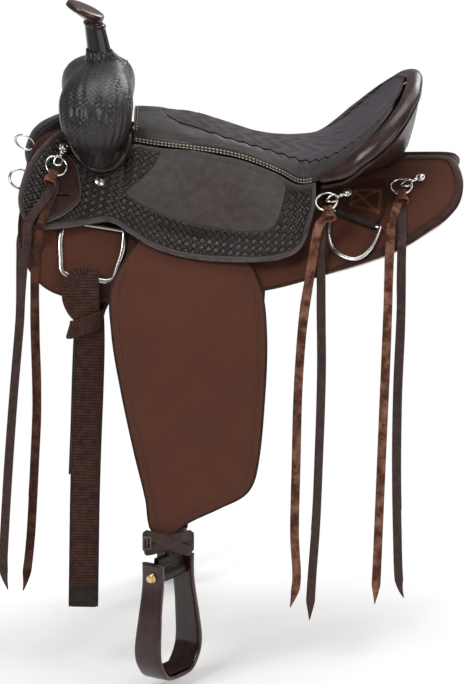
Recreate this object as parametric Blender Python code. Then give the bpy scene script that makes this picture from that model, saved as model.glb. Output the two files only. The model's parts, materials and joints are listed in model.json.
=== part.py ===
"""Western trail saddle, modelled piece by piece at its real size.

Metres, +Z up. The horse looks along -X, so -X is the front of the saddle, and its near (left)
side is -Y. The origin is on the centre plane, on the line where the horse's spine would run.
Leather and cloth are flat patterns that are cut out and then laid over the horse's back.
"""
import math

import bmesh
import bpy
from mathutils import Matrix, Vector

NEAR = -1.0
FAR = 1.0
SIDES = ((NEAR, "left"), (FAR, "right"))

# The horse's back under the saddle: a rounded ridge, higher at the withers
BACK_RADIUS = 0.450
SPINE_HEIGHT = 0.022
WITHERS_RISE = 0.095
WITHERS_RUN = 0.330
LOIN_RISE = 0.020
LOIN_RUN = 0.200
LOWEST_X = 0.100
REAR_SLOPE = math.radians(20.0)
SLOPE_GAIN = math.radians(28.3)
REAR_SLOPE_X = 0.300

# How far the skirts reach
SKIRT_FRONT = 0.260
SKIRT_REAR = 0.377
SKIRT_DEPTH_FRONT = 0.277
SKIRT_DEPTH_REAR = 0.197

# Thickness of each layer, from the horse outwards
FLEECE = 0.012
SKIRT = 0.004
STRAP = 0.0035
LEATHER = 0.004
BAR = 0.014
LAYER_GAP = 0.0015
TOUCH_GAP = 0.0004
GRID = 0.040

SKIRT_TOP = FLEECE + LAYER_GAP + SKIRT
STRAP_TOP = SKIRT_TOP + LAYER_GAP + STRAP
BAR_TOP = SKIRT_TOP + LAYER_GAP + BAR

# Leather of the seat and the front jockey, measured outwards to its outer face
JOCKEY_FRONT_HEIGHT = 0.0345
JOCKEY_SIDE_HEIGHT = 0.0425
JOCKEY_CHANGE_X = -0.175
JOCKEY_CHANGE_RUN = 0.045
JOCKEY_FALL_END = 0.150
JOCKEY_BAR_EDGE = 0.100

# Fork, which stands on the bars and carries the horn
FORK_X = -0.150
FORK_HALF_LENGTH = 0.054
FORK_HALF_WIDTH = 0.137
FORK_TOP = 0.201
FORK_WALL = 0.004
FORK_ROUNDNESS = 2.6
FORK_CROWN_SHIFT = 0.011
GULLET_TOP = 0.146

# Horn
HORN_CAP_RADIUS = 0.029
HORN_NECK_RADIUS = 0.0125
HORN_WRAP = 0.0060
HORN_TILT = math.radians(24.0)
HORN_CAP_CENTRE = Vector((-0.166, 0.0, 0.2690))
HORN_NECK_TOP = Vector((-0.1535, 0.0, 0.2505))
HORN_FOOT = Vector((-0.1415, 0.0, 0.1800))

# Seat and cantle
SEAT_PAD = 0.014
SEAT_EDGE = 0.009
GROUND_SEAT = 0.004
QUILT_DEPTH = 0.0028
CANTLE_LEATHER = 0.0035
CANTLE_BOARD = 0.008
ROLL_THICKNESS = 0.0080

# Stirrup leather and fender, which swing on the bar
FENDER = 0.004
FENDER_X = -0.030
FENDER_S = 0.175
FENDER_HEIGHT = 0.0330
FENDER_LIFT = 0.065
FENDER_TWIST_END = 0.260
FENDER_FLAT = 0.050
FENDER_BEND = 0.250
FENDER_END_SLOPE = math.radians(84.0)
SWING_U = -0.080
STIRRUP_LEATHER = 0.0035
STIRRUP_LEATHER_WIDTH = 0.070
NECK_X = -0.046
NECK_U = 0.436
HOBBLE_WALL = 0.003
HOBBLE_HEIGHT = 0.034

# Stirrup
STIRRUP_DROP = 0.155
STIRRUP_HALF_WIDTH = 0.0555
STIRRUP_TOP_HALF_WIDTH = 0.042
STIRRUP_WALL = 0.008
STIRRUP_BAND = 0.045
STIRRUP_BOLT_RADIUS = 0.0040
STIRRUP_BOLT_DROP = 0.027
STIRRUP_LOOP_WIDTH = 0.060
STIRRUP_LOOP_WALL = 0.004
BOLT_FIT = 0.0006
STEM_RADIUS = 0.0065
STEM_TOP = 0.015
TURN_NEAR = math.radians(56.0)
TURN_FAR = math.radians(90.0)

# Metal fittings
DEE_BAND = 0.007
DEE_THICKNESS = 0.004
FRONT_DEE_HALF = 0.0475
FRONT_DEE_DEPTH = 0.084
FRONT_DEE_X = -0.152
FRONT_DEE_S = 0.161
FRONT_DEE_TURN = math.radians(7.0)
FRONT_DEE_FLAT = 0.028
REAR_DEE_HALF = 0.0430
REAR_DEE_DEPTH = 0.068
REAR_DEE_LEAN = 0.28
REAR_DEE_X = 0.2230
REAR_DEE_S = 0.127
REAR_DEE_TURN = math.radians(33.7)
DEE_HEIGHT = STRAP_TOP + 0.0012
RING_RADIUS = 0.0155
RING_WIRE = 0.0018
BREAST_RING_RADIUS = 0.0150
SCREW_RADIUS = 0.0078
SCREW_THICKNESS = 0.003

# Webbing and strings
TIE_WIDTH = 0.042
TIE_THICKNESS = 0.003
TIE_LENGTH = 0.485
BILLET_LENGTH = 0.400
KNOT_WIDTH = 0.062
KNOT_HALF_DEPTH = 0.0085
STRING_WIDTH = 0.013
STRING_THICKNESS = 0.0028
LAID_GAP = 0.0006
KEEPER = 0.0024
KEEPER_GAP = 0.0016
DEE_BAR_HOLE = 0.0052
FAR_LINE = 0.098
FAR_MIDDLE = 0.046
FAR_SPREAD = 1.045
FAR_SPREAD_DEPTH = 0.15

LEATHER_DARK = ("dark_leather", (0.024, 0.017, 0.015), 0.45, 0.0)
LEATHER_GLOSS = ("binding_leather", (0.045, 0.018, 0.014), 0.28, 0.0)
LEATHER_GREY = ("seat_leather", (0.055, 0.050, 0.055), 0.6, 0.0)
LEATHER_STRING = ("string_leather", (0.110, 0.045, 0.028), 0.6, 0.0)
CORDURA = ("brown_cordura", (0.068, 0.030, 0.022), 0.85, 0.0)
WEBBING = ("brown_webbing", (0.050, 0.022, 0.017), 0.8, 0.0)
FLEECE_WOOL = ("fleece", (0.62, 0.55, 0.44), 0.95, 0.0)
TREE = ("tree_fibreglass", (0.42, 0.36, 0.26), 0.6, 0.0)
STEEL = ("bright_steel", (0.72, 0.72, 0.72), 0.18, 1.0)
BRASS = ("brass", (0.62, 0.45, 0.20), 0.3, 1.0)
STIRRUP_SHELL = ("stirrup_maroon", (0.035, 0.010, 0.010), 0.25, 0.0)


# Small helpers

def blend(a, b, share):
    """Value a share of the way from a to b."""
    return a + (b - a) * share


def ease(t):
    """0 to 1 with level ends, held outside the span."""
    t = min(max(t, 0.0), 1.0)
    return t * t * (3.0 - 2.0 * t)


def along(points, t):
    """Point at t on the smooth curve through equally numbered points."""
    last = len(points) - 1
    t = min(max(t, 0.0), float(last))
    i = min(int(t), last - 1)
    f = t - i
    before = points[max(i - 1, 0)]
    after = points[min(i + 2, last)]
    out = []
    for p0, p1, p2, p3 in zip(before, points[i], points[i + 1], after):
        out.append(0.5 * (2 * p1 + (p2 - p0) * f + (2 * p0 - 5 * p1 + 4 * p2 - p3) * f * f
                          + (3 * p1 - p0 - 3 * p2 + p3) * f ** 3))
    return out


def collection(name):
    """A new collection in the scene."""
    made = bpy.data.collections.new(name)
    bpy.context.scene.collection.children.link(made)
    return made


def material(finish):
    """Principled material of one finish, made once."""
    name, colour, roughness, metallic = finish
    if name in bpy.data.materials:
        return bpy.data.materials[name]
    made = bpy.data.materials.new(name)
    made.use_nodes = True
    shader = made.node_tree.nodes["Principled BSDF"]
    shader.inputs["Base Color"].default_value = (*colour, 1.0)
    shader.inputs["Roughness"].default_value = roughness
    shader.inputs["Metallic"].default_value = metallic
    made.diffuse_color = (*colour, 1.0)
    return made


def finish_object(name, bm, finish, into=None, smooth=True):
    """Turn a bmesh into a named object with its material."""
    bmesh.ops.recalc_face_normals(bm, faces=bm.faces)
    if bm.calc_volume(signed=True) < 0.0:
        bmesh.ops.reverse_faces(bm, faces=bm.faces)
    mesh = bpy.data.meshes.new(name)
    bm.to_mesh(mesh)
    bm.free()
    made = bpy.data.objects.new(name, mesh)
    (into or PARTS).objects.link(made)
    if finish:
        mesh.materials.append(material(finish))
    if smooth:
        mesh.shade_smooth()
        mesh.set_sharp_from_angle(angle=math.radians(40.0))
    return made


def set_pivot(part, point):
    """Move an object's origin to a point, with its mesh left where it is."""
    part.data.transform(Matrix.Translation(-Vector(point)))
    part.location = point
    return part


def as_cutter(shape):
    """Show a shape as a wire that isn't part of the saddle."""
    shape.display_type = "WIRE"
    shape.hide_render = True
    return shape


def cut(part, cutter):
    """Take the cutter's volume away from the part."""
    step = part.modifiers.new("cut_" + cutter.name, "BOOLEAN")
    step.operation = "DIFFERENCE"
    step.solver = "EXACT"
    step.object = cutter


# The horse's back as a surface of (x, s): s runs over the hide from the spine outwards

def ridge_height(x):
    """Height of the spine line."""
    front = max(LOWEST_X - x, 0.0) / WITHERS_RUN
    return SPINE_HEIGHT + WITHERS_RISE * front ** 2 + LOIN_RISE * ease((x - LOWEST_X) / LOIN_RUN)


def ridge_slope(x):
    """Slope of the back right beside the spine."""
    return REAR_SLOPE + SLOPE_GAIN * (REAR_SLOPE_X - x)


def on_back(x, s, height, side):
    """Point a height outwards from the back at (x, s)."""
    start = ridge_slope(x)
    angle = start + s / BACK_RADIUS
    reach = BACK_RADIUS + height
    y = reach * math.sin(angle) - BACK_RADIUS * math.sin(start)
    z = ridge_height(x) + reach * math.cos(angle) - BACK_RADIUS * math.cos(start)
    return Vector((x, side * y, z))


def unroll(x, y, z):
    """The s and height of a point, which on_back turns into the point again."""
    start = ridge_slope(x)
    across = abs(y) + BACK_RADIUS * math.sin(start)
    up = z - ridge_height(x) + BACK_RADIUS * math.cos(start)
    return (math.atan2(across, up) - start) * BACK_RADIUS, math.hypot(across, up) - BACK_RADIUS


def back_axes(x, s, height, side):
    """Unit vectors along the saddle, down the hide and outwards at a point over the back."""
    step = 0.004
    along_x = on_back(x + step, s, height, side) - on_back(x - step, s, height, side)
    down = on_back(x, s + step, height, side) - on_back(x, s - step, height, side)
    along_x.normalize()
    out = (along_x.cross(down) * -side).normalized()
    return along_x, (down - along_x * down.dot(along_x)).normalized(), out


# Flat patterns

def pattern_mesh(name, outline, thickness, holes=(), steps=3):
    """Flat pattern: a filled 2D curve extruded to its thickness, as a closed bmesh."""
    curve = bpy.data.curves.new(name + "_pattern", "CURVE")
    curve.dimensions = "2D"
    curve.fill_mode = "BOTH"
    curve.extrude = thickness / 2
    curve.resolution_u = steps
    for loop in (outline, *holes):
        spline = curve.splines.new("BEZIER")
        spline.bezier_points.add(len(loop) - 1)
        spline.use_cyclic_u = True
        for knot, point in zip(spline.bezier_points, loop):
            knot.co = (point[0], point[1], 0.0)
            kind = "VECTOR" if len(point) > 2 else "AUTO"
            knot.handle_left_type = kind
            knot.handle_right_type = kind
    made = bpy.data.objects.new(name + "_pattern", curve)
    bpy.context.scene.collection.objects.link(made)
    bpy.context.view_layer.update()
    mesh = bpy.data.meshes.new_from_object(made.evaluated_get(bpy.context.evaluated_depsgraph_get()))
    bpy.data.objects.remove(made)
    bm = bmesh.new()
    bm.from_mesh(mesh)
    bpy.data.meshes.remove(mesh)
    bmesh.ops.remove_doubles(bm, verts=bm.verts, dist=0.00002)
    bmesh.ops.dissolve_limit(bm, angle_limit=0.01, verts=bm.verts, edges=bm.edges)
    return bm


def slice_pattern(bm, grid_u, grid_v):
    """Cut a pattern along a grid, so that it can bend there."""
    for axis, step in ((0, grid_u), (1, grid_v)):
        if not step:
            continue
        low = min(v.co[axis] for v in bm.verts)
        high = max(v.co[axis] for v in bm.verts)
        for k in range(math.floor(low / step) + 1, math.ceil(high / step)):
            place = Vector((0.0, 0.0, 0.0))
            place[axis] = k * step
            normal = Vector((0.0, 0.0, 0.0))
            normal[axis] = 1.0
            geometry = bm.verts[:] + bm.edges[:] + bm.faces[:]
            bmesh.ops.bisect_plane(bm, geom=geometry, dist=0.00001, plane_co=place, plane_no=normal)


def sheet(name, outline, thickness, place, finish, holes=(), grid=(GRID, GRID), steps=3, into=None):
    """Flat pattern laid on a surface: place(u, v, w) gives where a pattern's point goes."""
    bm = pattern_mesh(name, outline, thickness, holes, steps)
    slice_pattern(bm, *grid)
    bmesh.ops.triangulate(bm, faces=bm.faces)
    for vertex in bm.verts:
        vertex.co = place(*vertex.co)
    return finish_object(name, bm, finish, into)


def on_height(side, middle):
    """Placing on the back with the sheet's middle at a steady height."""
    return lambda x, s, w: on_back(x, s, middle + w, side)


def plane_of(origin, across, down):
    """Placing on a flat plane through origin."""
    out = across.cross(down).normalized()
    return lambda u, v, w: origin + across * u + down * v + out * w


def corner(x, s):
    """Pattern point with a sharp corner."""
    return (x, s, "corner")


# Solids between rows of points

def row_faces(bm, rows, closed):
    """Quads between rows of vertices, each row a ring when closed."""
    for one, two in zip(rows, rows[1:]):
        count = len(one)
        for i in range(count if closed else count - 1):
            j = (i + 1) % count
            bm.faces.new((one[i], one[j], two[j], two[i]))


def add_rows(bm, rows):
    """Vertices of each row."""
    return [[bm.verts.new(point) for point in row] for row in rows]


def loft(name, rings, finish, into=None):
    """Solid through rings of points, closed at both ends."""
    bm = bmesh.new()
    rows = add_rows(bm, rings)
    row_faces(bm, rows, True)
    bm.faces.new(rows[0])
    bm.faces.new(rows[-1])
    bmesh.ops.triangulate(bm, faces=[f for f in bm.faces if len(f.verts) > 4])
    return finish_object(name, bm, finish, into)


def tube(name, outer, inner, finish, closed_end=False):
    """Shell between outer and inner rings, open at its first end and, unless closed, at its last."""
    bm = bmesh.new()
    skins = [add_rows(bm, outer), add_rows(bm, inner)]
    for rows in skins:
        row_faces(bm, rows, True)
    ends = [(skins[0][0], skins[1][0])]
    if closed_end:
        bm.faces.new(skins[0][-1])
        bm.faces.new(skins[1][-1])
    else:
        ends.append((skins[0][-1], skins[1][-1]))
    for one, two in ends:
        row_faces(bm, [one, two], True)
    bmesh.ops.triangulate(bm, faces=[f for f in bm.faces if len(f.verts) > 4])
    return finish_object(name, bm, finish)


def slab(name, top, bottom, finish):
    """Solid between two grids of points with the same counts."""
    bm = bmesh.new()
    upper = add_rows(bm, top)
    lower = add_rows(bm, bottom)
    row_faces(bm, upper, False)
    row_faces(bm, lower, False)
    for one, two in ((upper[0], lower[0]), (upper[-1], lower[-1])):
        row_faces(bm, [one, two], False)
    for column in (0, -1):
        row_faces(bm, [[row[column] for row in upper], [row[column] for row in lower]], False)
    return finish_object(name, bm, finish)


def offset_grid(grid, distance):
    """Grid moved along its own normals."""
    moved = []
    for i, row in enumerate(grid):
        line = []
        for j, point in enumerate(row):
            along_rows = grid[min(i + 1, len(grid) - 1)][j] - grid[max(i - 1, 0)][j]
            along_row = row[min(j + 1, len(row) - 1)] - row[max(j - 1, 0)]
            line.append(point + along_rows.cross(along_row).normalized() * distance)
        moved.append(line)
    return moved


def surface_across(point, side):
    """Direction along the saddle at a point: along the hide on the skirt, level where it hangs."""
    s, height = unroll(*point)
    step = 0.004
    laid = on_back(point.x + step, s, height, side) - on_back(point.x - step, s, height, side)
    return laid.normalized().lerp(Vector((1.0, 0.0, 0.0)), ease((s - 0.20) / 0.08))


def ribbon(name, points, width, thickness, finish, side, tips=(), into=None):
    """Strip of leather or webbing along points; tips are the ends that are cut to a point."""
    rings = []
    last = len(points) - 1
    for i, point in enumerate(points):
        run = (points[min(i + 1, last)] - points[max(i - 1, 0)]).normalized()
        across = surface_across(point, side)
        across = (across - run * run.dot(across)).normalized()
        out = run.cross(across)
        half = width / 2 * (0.30 if i in tips else 1.0)
        rings.append([point + across * u * half + out * w * thickness / 2
                      for u, w in ((-1, -1), (1, -1), (1, 1), (-1, 1))])
    return loft(name, rings, finish, into)


# Skirts and what lies under them

SKIRT_OUTLINE = [
    corner(-0.190, 0.040), corner(0.235, 0.022), corner(0.298, 0.004),
    (SKIRT_REAR - 0.032, 0.004), (SKIRT_REAR - 0.013, 0.013), (SKIRT_REAR - 0.002, 0.046),
    (SKIRT_REAR, 0.078), (SKIRT_REAR - 0.007, 0.112), (SKIRT_REAR - 0.025, 0.138),
    (SKIRT_REAR - 0.049, SKIRT_DEPTH_REAR - 0.040), (0.290, SKIRT_DEPTH_REAR - 0.015),
    (0.242, SKIRT_DEPTH_REAR - 0.001), (0.185, SKIRT_DEPTH_REAR + 0.005),
    (0.128, SKIRT_DEPTH_REAR + 0.012), (0.040, 0.222), (-0.080, 0.250),
    (-SKIRT_FRONT + 0.063, SKIRT_DEPTH_FRONT), (-SKIRT_FRONT + 0.031, SKIRT_DEPTH_FRONT - 0.002),
    (-SKIRT_FRONT + 0.009, SKIRT_DEPTH_FRONT - 0.022), (-SKIRT_FRONT, 0.225),
    (-SKIRT_FRONT + 0.002, 0.185), (-SKIRT_FRONT + 0.015, 0.130), (-SKIRT_FRONT + 0.038, 0.080),
]
FLEECE_INSET = 0.006


def inset(outline, distance):
    """Outline drawn in towards its own middle by a distance."""
    middle_x = sum(p[0] for p in outline) / len(outline)
    middle_s = sum(p[1] for p in outline) / len(outline)
    moved = []
    for point in outline:
        dx = point[0] - middle_x
        ds = point[1] - middle_s
        length = math.hypot(dx, ds)
        keep = (length - distance) / length
        moved.append((middle_x + dx * keep, middle_s + ds * keep, *point[2:]))
    return moved


def make_skirts(side, word):
    """Skirt of cloth-covered leather, with its woollen lining under it."""
    sheet("skirt_" + word, SKIRT_OUTLINE, SKIRT, on_height(side, SKIRT_TOP - SKIRT / 2), CORDURA, steps=2)
    sheet("fleece_" + word, inset(SKIRT_OUTLINE, FLEECE_INSET), FLEECE,
          on_height(side, FLEECE / 2), FLEECE_WOOL, grid=(0.050, 0.050), steps=2)


def make_bar(side, word):
    """Bar of the tree, notched where the stirrup leather passes over it."""
    notch = STIRRUP_LEATHER_WIDTH / 2 + 0.009
    notch_s = FENDER_S + SWING_U - 0.014
    outline = [
        (-0.203, 0.056), (-0.198, 0.086), (-0.188, 0.098), corner(FENDER_X - notch, 0.098),
        corner(FENDER_X - notch, notch_s), corner(FENDER_X + notch, notch_s),
        corner(FENDER_X + notch, 0.098), (0.110, 0.092), (0.150, 0.066), (0.190, 0.042),
        (0.255, 0.029), (0.268, 0.022), (0.255, 0.014), (0.160, 0.020), (0.060, 0.034),
        (-0.060, 0.036), (-0.150, 0.036), (-0.192, 0.040),
    ]
    sheet("tree_bar_" + word, outline, BAR, on_height(side, BAR_TOP - BAR / 2), TREE)


# Seat, ground seat and the leather that hangs from the seat's edge

# Each station across the seat: x and height on the centre line, then x, half width and height
# of the edge
SEAT_STATIONS = [
    (-0.091, 0.1250, -0.092, 0.050, 0.0960), (-0.060, 0.1230, -0.060, 0.058, 0.0920),
    (-0.010, 0.1170, -0.010, 0.070, 0.0885), (0.040, 0.1010, 0.040, 0.068, 0.0800),
    (0.080, 0.0880, 0.078, 0.069, 0.0690), (0.120, 0.0820, 0.115, 0.088, 0.0575),
    (0.165, 0.0830, 0.141, 0.114, 0.0500), (0.200, 0.0920, 0.164, 0.127, 0.0560),
    (0.228, 0.1060, 0.192, 0.134, 0.0750), (0.252, 0.1250, 0.213, 0.137, 0.0920),
    (0.271, 0.1420, 0.233, 0.134, 0.1090), (0.283, 0.1550, 0.253, 0.123, 0.1270),
    (0.290, 0.1640, 0.273, 0.096, 0.1450), (0.2930, 0.1680, 0.2860, 0.052, 0.1590),
]
SEAT_ROWS = 27
SEAT_COLUMNS = 18
CROWN_POWER = 2.2
QUILT_FIRST_ROW = 7
QUILT_SWING = 0.030
QUILT_MARGIN = 0.80
PAD_GAP = 0.0012
SEAT_LEATHER_END = 7.2
GROUND_SHARE = 0.84
GROUND_FOOT = 0.062


def seat_point(t, v, drop=0.0):
    """Point of the seat's top at station t and share v across, lowered by drop."""
    x_mid, z_mid, x_edge, y_edge, z_edge = along(SEAT_STATIONS, t)
    x = blend(x_mid, x_edge, v * v)
    z = blend(z_mid, z_edge, abs(v) ** CROWN_POWER)
    return Vector((x, y_edge * v, z - drop))


def zigzag(v):
    """Triangle wave with three teeth across the seat."""
    phase = (abs(v) * 1.5) % 1.0
    return 1.0 - 2.0 * abs(2.0 * phase - 1.0)


def seat_grid(rows, columns, drop_middle, drop_edge, quilted, last=None, reach=1.0):
    """Grid of points over the seat, lowered in the middle and at the edge by the drops."""
    end = len(SEAT_STATIONS) - 1 if last is None else last
    grid = []
    for i in range(rows + 1):
        share = i / rows
        line = []
        for j in range(columns + 1):
            v = (2.0 * j / columns - 1.0) * reach
            inside = 1.0 if abs(v) < QUILT_MARGIN else 0.0
            swing = QUILT_SWING * zigzag(v) * math.sin(math.pi * share) if quilted else 0.0
            drop = blend(drop_middle, drop_edge, abs(v) ** 4)
            if quilted and i % 2 and QUILT_FIRST_ROW < i < rows - 1:
                drop += QUILT_DEPTH * inside
            line.append(seat_point(end * min(max(share + swing, 0.0), 1.0), v, drop))
        grid.append(line)
    return grid


def make_seat():
    """Padded seat with its zigzag quilting, over the ground seat that spans the bars."""
    top = seat_grid(SEAT_ROWS, SEAT_COLUMNS, 0.0, 0.0, True)
    bottom = seat_grid(SEAT_ROWS, SEAT_COLUMNS, SEAT_PAD, SEAT_EDGE, False)
    slab("seat_pad", top, bottom, LEATHER_GREY)
    under = SEAT_PAD + PAD_GAP
    edge = SEAT_EDGE + PAD_GAP
    last = 6.4
    upper = seat_grid(10, 10, under, edge + 0.001, False, last, GROUND_SHARE)
    lower = seat_grid(10, 10, under + GROUND_SEAT, edge + 0.001 + GROUND_SEAT, False, last, GROUND_SHARE)
    for outer, inner in zip(upper, lower):
        for end, side in ((0, NEAR), (-1, FAR)):
            foot = on_back(outer[end].x, GROUND_FOOT, BAR_TOP + PAD_GAP, side)
            inner_foot = on_back(outer[end].x, GROUND_FOOT - GROUND_SEAT, BAR_TOP + PAD_GAP, side)
            inner[end].y -= side * GROUND_SEAT
            if end == 0:
                outer.insert(0, foot)
                inner.insert(0, inner_foot)
            else:
                outer.append(foot)
                inner.append(inner_foot)
    slab("ground_seat", upper, lower, LEATHER_DARK)


def seat_edge_at(x):
    """Half width and underside height of the seat's edge at x."""
    edge = [station[2:] for station in SEAT_STATIONS]
    low, high = 0.0, SEAT_LEATHER_END
    for _ in range(24):
        middle = (low + high) / 2
        if along(edge, middle)[0] < x:
            low = middle
        else:
            high = middle
    _, y, z = along(edge, low)
    return y + 0.002, z - SEAT_EDGE - PAD_GAP


def leather_top(x):
    """The s and height of the jockey leather's upper line at x."""
    if x > SEAT_STATIONS[0][2]:
        y, z = seat_edge_at(x)
        return unroll(x, y, z)
    behind_fork = ease((x + 0.120) / 0.028)
    y, z = seat_edge_at(SEAT_STATIONS[0][2])
    s, height = unroll(x, y, z)
    return blend(JOCKEY_BAR_EDGE, s, behind_fork), blend(BAR_TOP + TOUCH_GAP + LEATHER, height, behind_fork)


def leather_height(x, s):
    """Height of the jockey leather's outer face."""
    change = ease((x - JOCKEY_CHANGE_X) / JOCKEY_CHANGE_RUN)
    lower = blend(JOCKEY_FRONT_HEIGHT, JOCKEY_SIDE_HEIGHT, change)
    top_s, top_height = leather_top(x)
    rise = (JOCKEY_FALL_END - s) / (JOCKEY_FALL_END - top_s)
    return lower + max(top_height - lower, 0.0) * min(max(rise, 0.0), 1.0)


def jockey_outline():
    """Seat and front jockey in one piece of leather, cut away round the fork's foot."""
    outline = [
        (-0.194, 0.034), (-0.223, 0.074), (-0.247, 0.120), (-0.258, 0.159), (-0.260, 0.180),
        (-0.255, 0.196), (-0.239, 0.205), (-0.201, 0.189), (-0.158, 0.166), (-0.127, 0.155),
        (-0.101, 0.163), (-0.072, 0.174), (-0.022, 0.181), (0.056, 0.182), (0.100, 0.182),
        (0.132, 0.176), (0.147, 0.164), (0.157, 0.140), (0.164, 0.120),
    ]
    for x in (0.165, 0.140, 0.110, 0.070, 0.020, -0.040, -0.090):
        s, _ = leather_top(x)
        kind = ("corner",) if x in (0.165, -0.090) else ()
        outline.append((x, s + 0.001, *kind))
    outline += [corner(-0.104, 0.088), (-0.128, 0.091), (-0.158, 0.090), (-0.180, 0.070),
                (-0.188, 0.046)]
    return outline


def make_jockey(side, word):
    """Jockey leather laid over bar, fender and skirt."""
    def place(x, s, w):
        return on_back(x, s, leather_height(x, s) - LEATHER / 2 + w, side)
    sheet("seat_jockey_" + word, jockey_outline(), LEATHER, place, LEATHER_DARK, grid=(GRID, 0.025),
          steps=2)


def make_keeper(side, word):
    """Leaf-shaped latigo keeper with its slot, laid on the front jockey."""
    outline = [
        (-0.194, 0.080), (-0.180, 0.087), (-0.172, 0.110), (-0.172, 0.137), (-0.187, 0.160),
        (-0.205, 0.178), (-0.226, 0.190), (-0.229, 0.165), (-0.220, 0.135), (-0.208, 0.103),
    ]
    slot = [corner(-0.216, 0.1480), corner(-0.215, 0.1525), corner(-0.187, 0.1405),
            corner(-0.188, 0.1360)]

    def place(x, s, w):
        return on_back(x, s, leather_height(x, s) + KEEPER_GAP + KEEPER / 2 + w, side)
    sheet("latigo_keeper_" + word, outline, KEEPER, place, LEATHER_DARK, holes=(slot,),
          grid=(0.020, 0.025), steps=2)


def make_screw(side, word):
    """Concho screw that holds the jockey to the bar below the fork."""
    x = -0.144
    s = 0.099
    across, _, out = back_axes(x, s, JOCKEY_SIDE_HEIGHT, side)
    middle = on_back(x, s, leather_height(x, s) + 0.0012 + SCREW_THICKNESS / 2, side)
    bm = bmesh.new()
    bmesh.ops.create_cone(bm, cap_ends=True, segments=16, radius1=SCREW_RADIUS,
                          radius2=SCREW_RADIUS * 0.7, depth=SCREW_THICKNESS)
    turn = Matrix((across, out.cross(across), out)).transposed().to_4x4()
    bm.transform(Matrix.Translation(middle) @ turn)
    finish_object("fork_screw_" + word, bm, STEEL)


# Fork and horn

# Stations from the foot on the bar to the crown: inner (y, z), outer share of the half width,
# outer z and share of the half length
FORK_STATIONS = [
    (0.049, 0.048, 0.600, 0.036, 0.30), (0.053, 0.084, 0.775, 0.072, 0.52),
    (0.055, 0.096, 0.930, 0.095, 0.72), (0.053, 0.108, 1.000, 0.121, 0.90),
    (0.049, 0.118, 0.945, 0.149, 0.97), (0.042, 0.128, 0.770, 0.173, 0.98),
    (0.029, 0.138, 0.505, 0.189, 0.88), (0.014, 0.144, 0.250, 0.197, 0.72),
    (0.000, 0.146, 0.000, 0.203, 0.60),
]
FORK_RING = 16


def fork_ring(t, inset_by):
    """Ring of points round the fork at station t: a rounded box between gullet and outside."""
    y_in, z_in, share_out, z_out, share_half = along(FORK_STATIONS, len(FORK_STATIONS) - 1 - abs(t))
    sign = -1.0 if t < 0 else 1.0
    inner = Vector((0.0, sign * y_in, z_in + GULLET_TOP - 0.146))
    outer = Vector((0.0, sign * share_out * FORK_HALF_WIDTH, z_out + FORK_TOP - 0.201))
    shift = FORK_CROWN_SHIFT * (1.0 - share_out) ** 2
    middle = (inner + outer) / 2 + Vector((FORK_X + shift, 0.0, 0.0))
    radial = (outer - inner) / 2
    reach = radial.length - inset_by
    radial.normalize()
    half = FORK_HALF_LENGTH * share_half - inset_by
    ring = []
    for i in range(FORK_RING):
        angle = 2 * math.pi * i / FORK_RING
        c = math.copysign(abs(math.cos(angle)) ** (2 / FORK_ROUNDNESS), math.cos(angle))
        d = math.copysign(abs(math.sin(angle)) ** (2 / FORK_ROUNDNESS), math.sin(angle))
        ring.append(middle + radial * (reach * d) + Vector((half * c, 0.0, 0.0)))
    return ring


def tilted_ring(centre, radius, tilt, count=16, stretch=1.0):
    """Ring of points round a centre, tipped back about Y by tilt."""
    ring = []
    for i in range(count):
        angle = 2 * math.pi * i / count
        x = radius * stretch * math.cos(angle)
        ring.append(centre + Vector((x * math.cos(tilt), radius * math.sin(angle), -x * math.sin(tilt))))
    return ring


def back_block(name, top, low=-0.05):
    """Cutter that fills everything between the horse and a height top(x, s), on both sides."""
    outline = [corner(-0.26, -0.02), corner(-0.05, -0.02), corner(-0.05, 0.20), corner(-0.26, 0.20)]
    made = []
    for side, word in SIDES:
        def place(x, s, w, side=side):
            return on_back(x, s, blend(low, top(x, s), w + 0.5), side)
        block = sheet(name + "_" + word, outline, 1.0, place, None, grid=(0.020, 0.020), steps=1,
                      into=CUTTERS)
        made.append(as_cutter(block))
    return made


def make_fork():
    """Fork of the tree inside its leather cover, both trimmed where they stand."""
    ends = len(FORK_STATIONS) - 1
    steps = [float(k) for k in range(-ends, ends + 1)]
    cover = tube("fork_cover", [fork_ring(t, 0.0) for t in steps],
                 [fork_ring(t, FORK_WALL) for t in steps], LEATHER_DARK)
    core = loft("tree_fork", [fork_ring(t, FORK_WALL + 0.0012) for t in steps], TREE)
    for block in back_block("jockey_space", lambda x, s: leather_height(x, s) + TOUCH_GAP):
        cut(cover, block)
    for block in back_block("bar_space", lambda x, s: BAR_TOP + TOUCH_GAP):
        cut(core, block)
    hole = loft("horn_hole", [tilted_ring(HORN_FOOT - Vector((0, 0, 0.001)), HORN_NECK_RADIUS + TOUCH_GAP, 0),
                              tilted_ring(HORN_NECK_TOP, HORN_NECK_RADIUS + TOUCH_GAP, 0)], None, CUTTERS)
    cut(core, as_cutter(hole))
    cut(cover, hole)


def horn_axis(share):
    """Point on the horn's neck, a share of the way up from its foot."""
    return HORN_FOOT.lerp(HORN_NECK_TOP, share)


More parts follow.
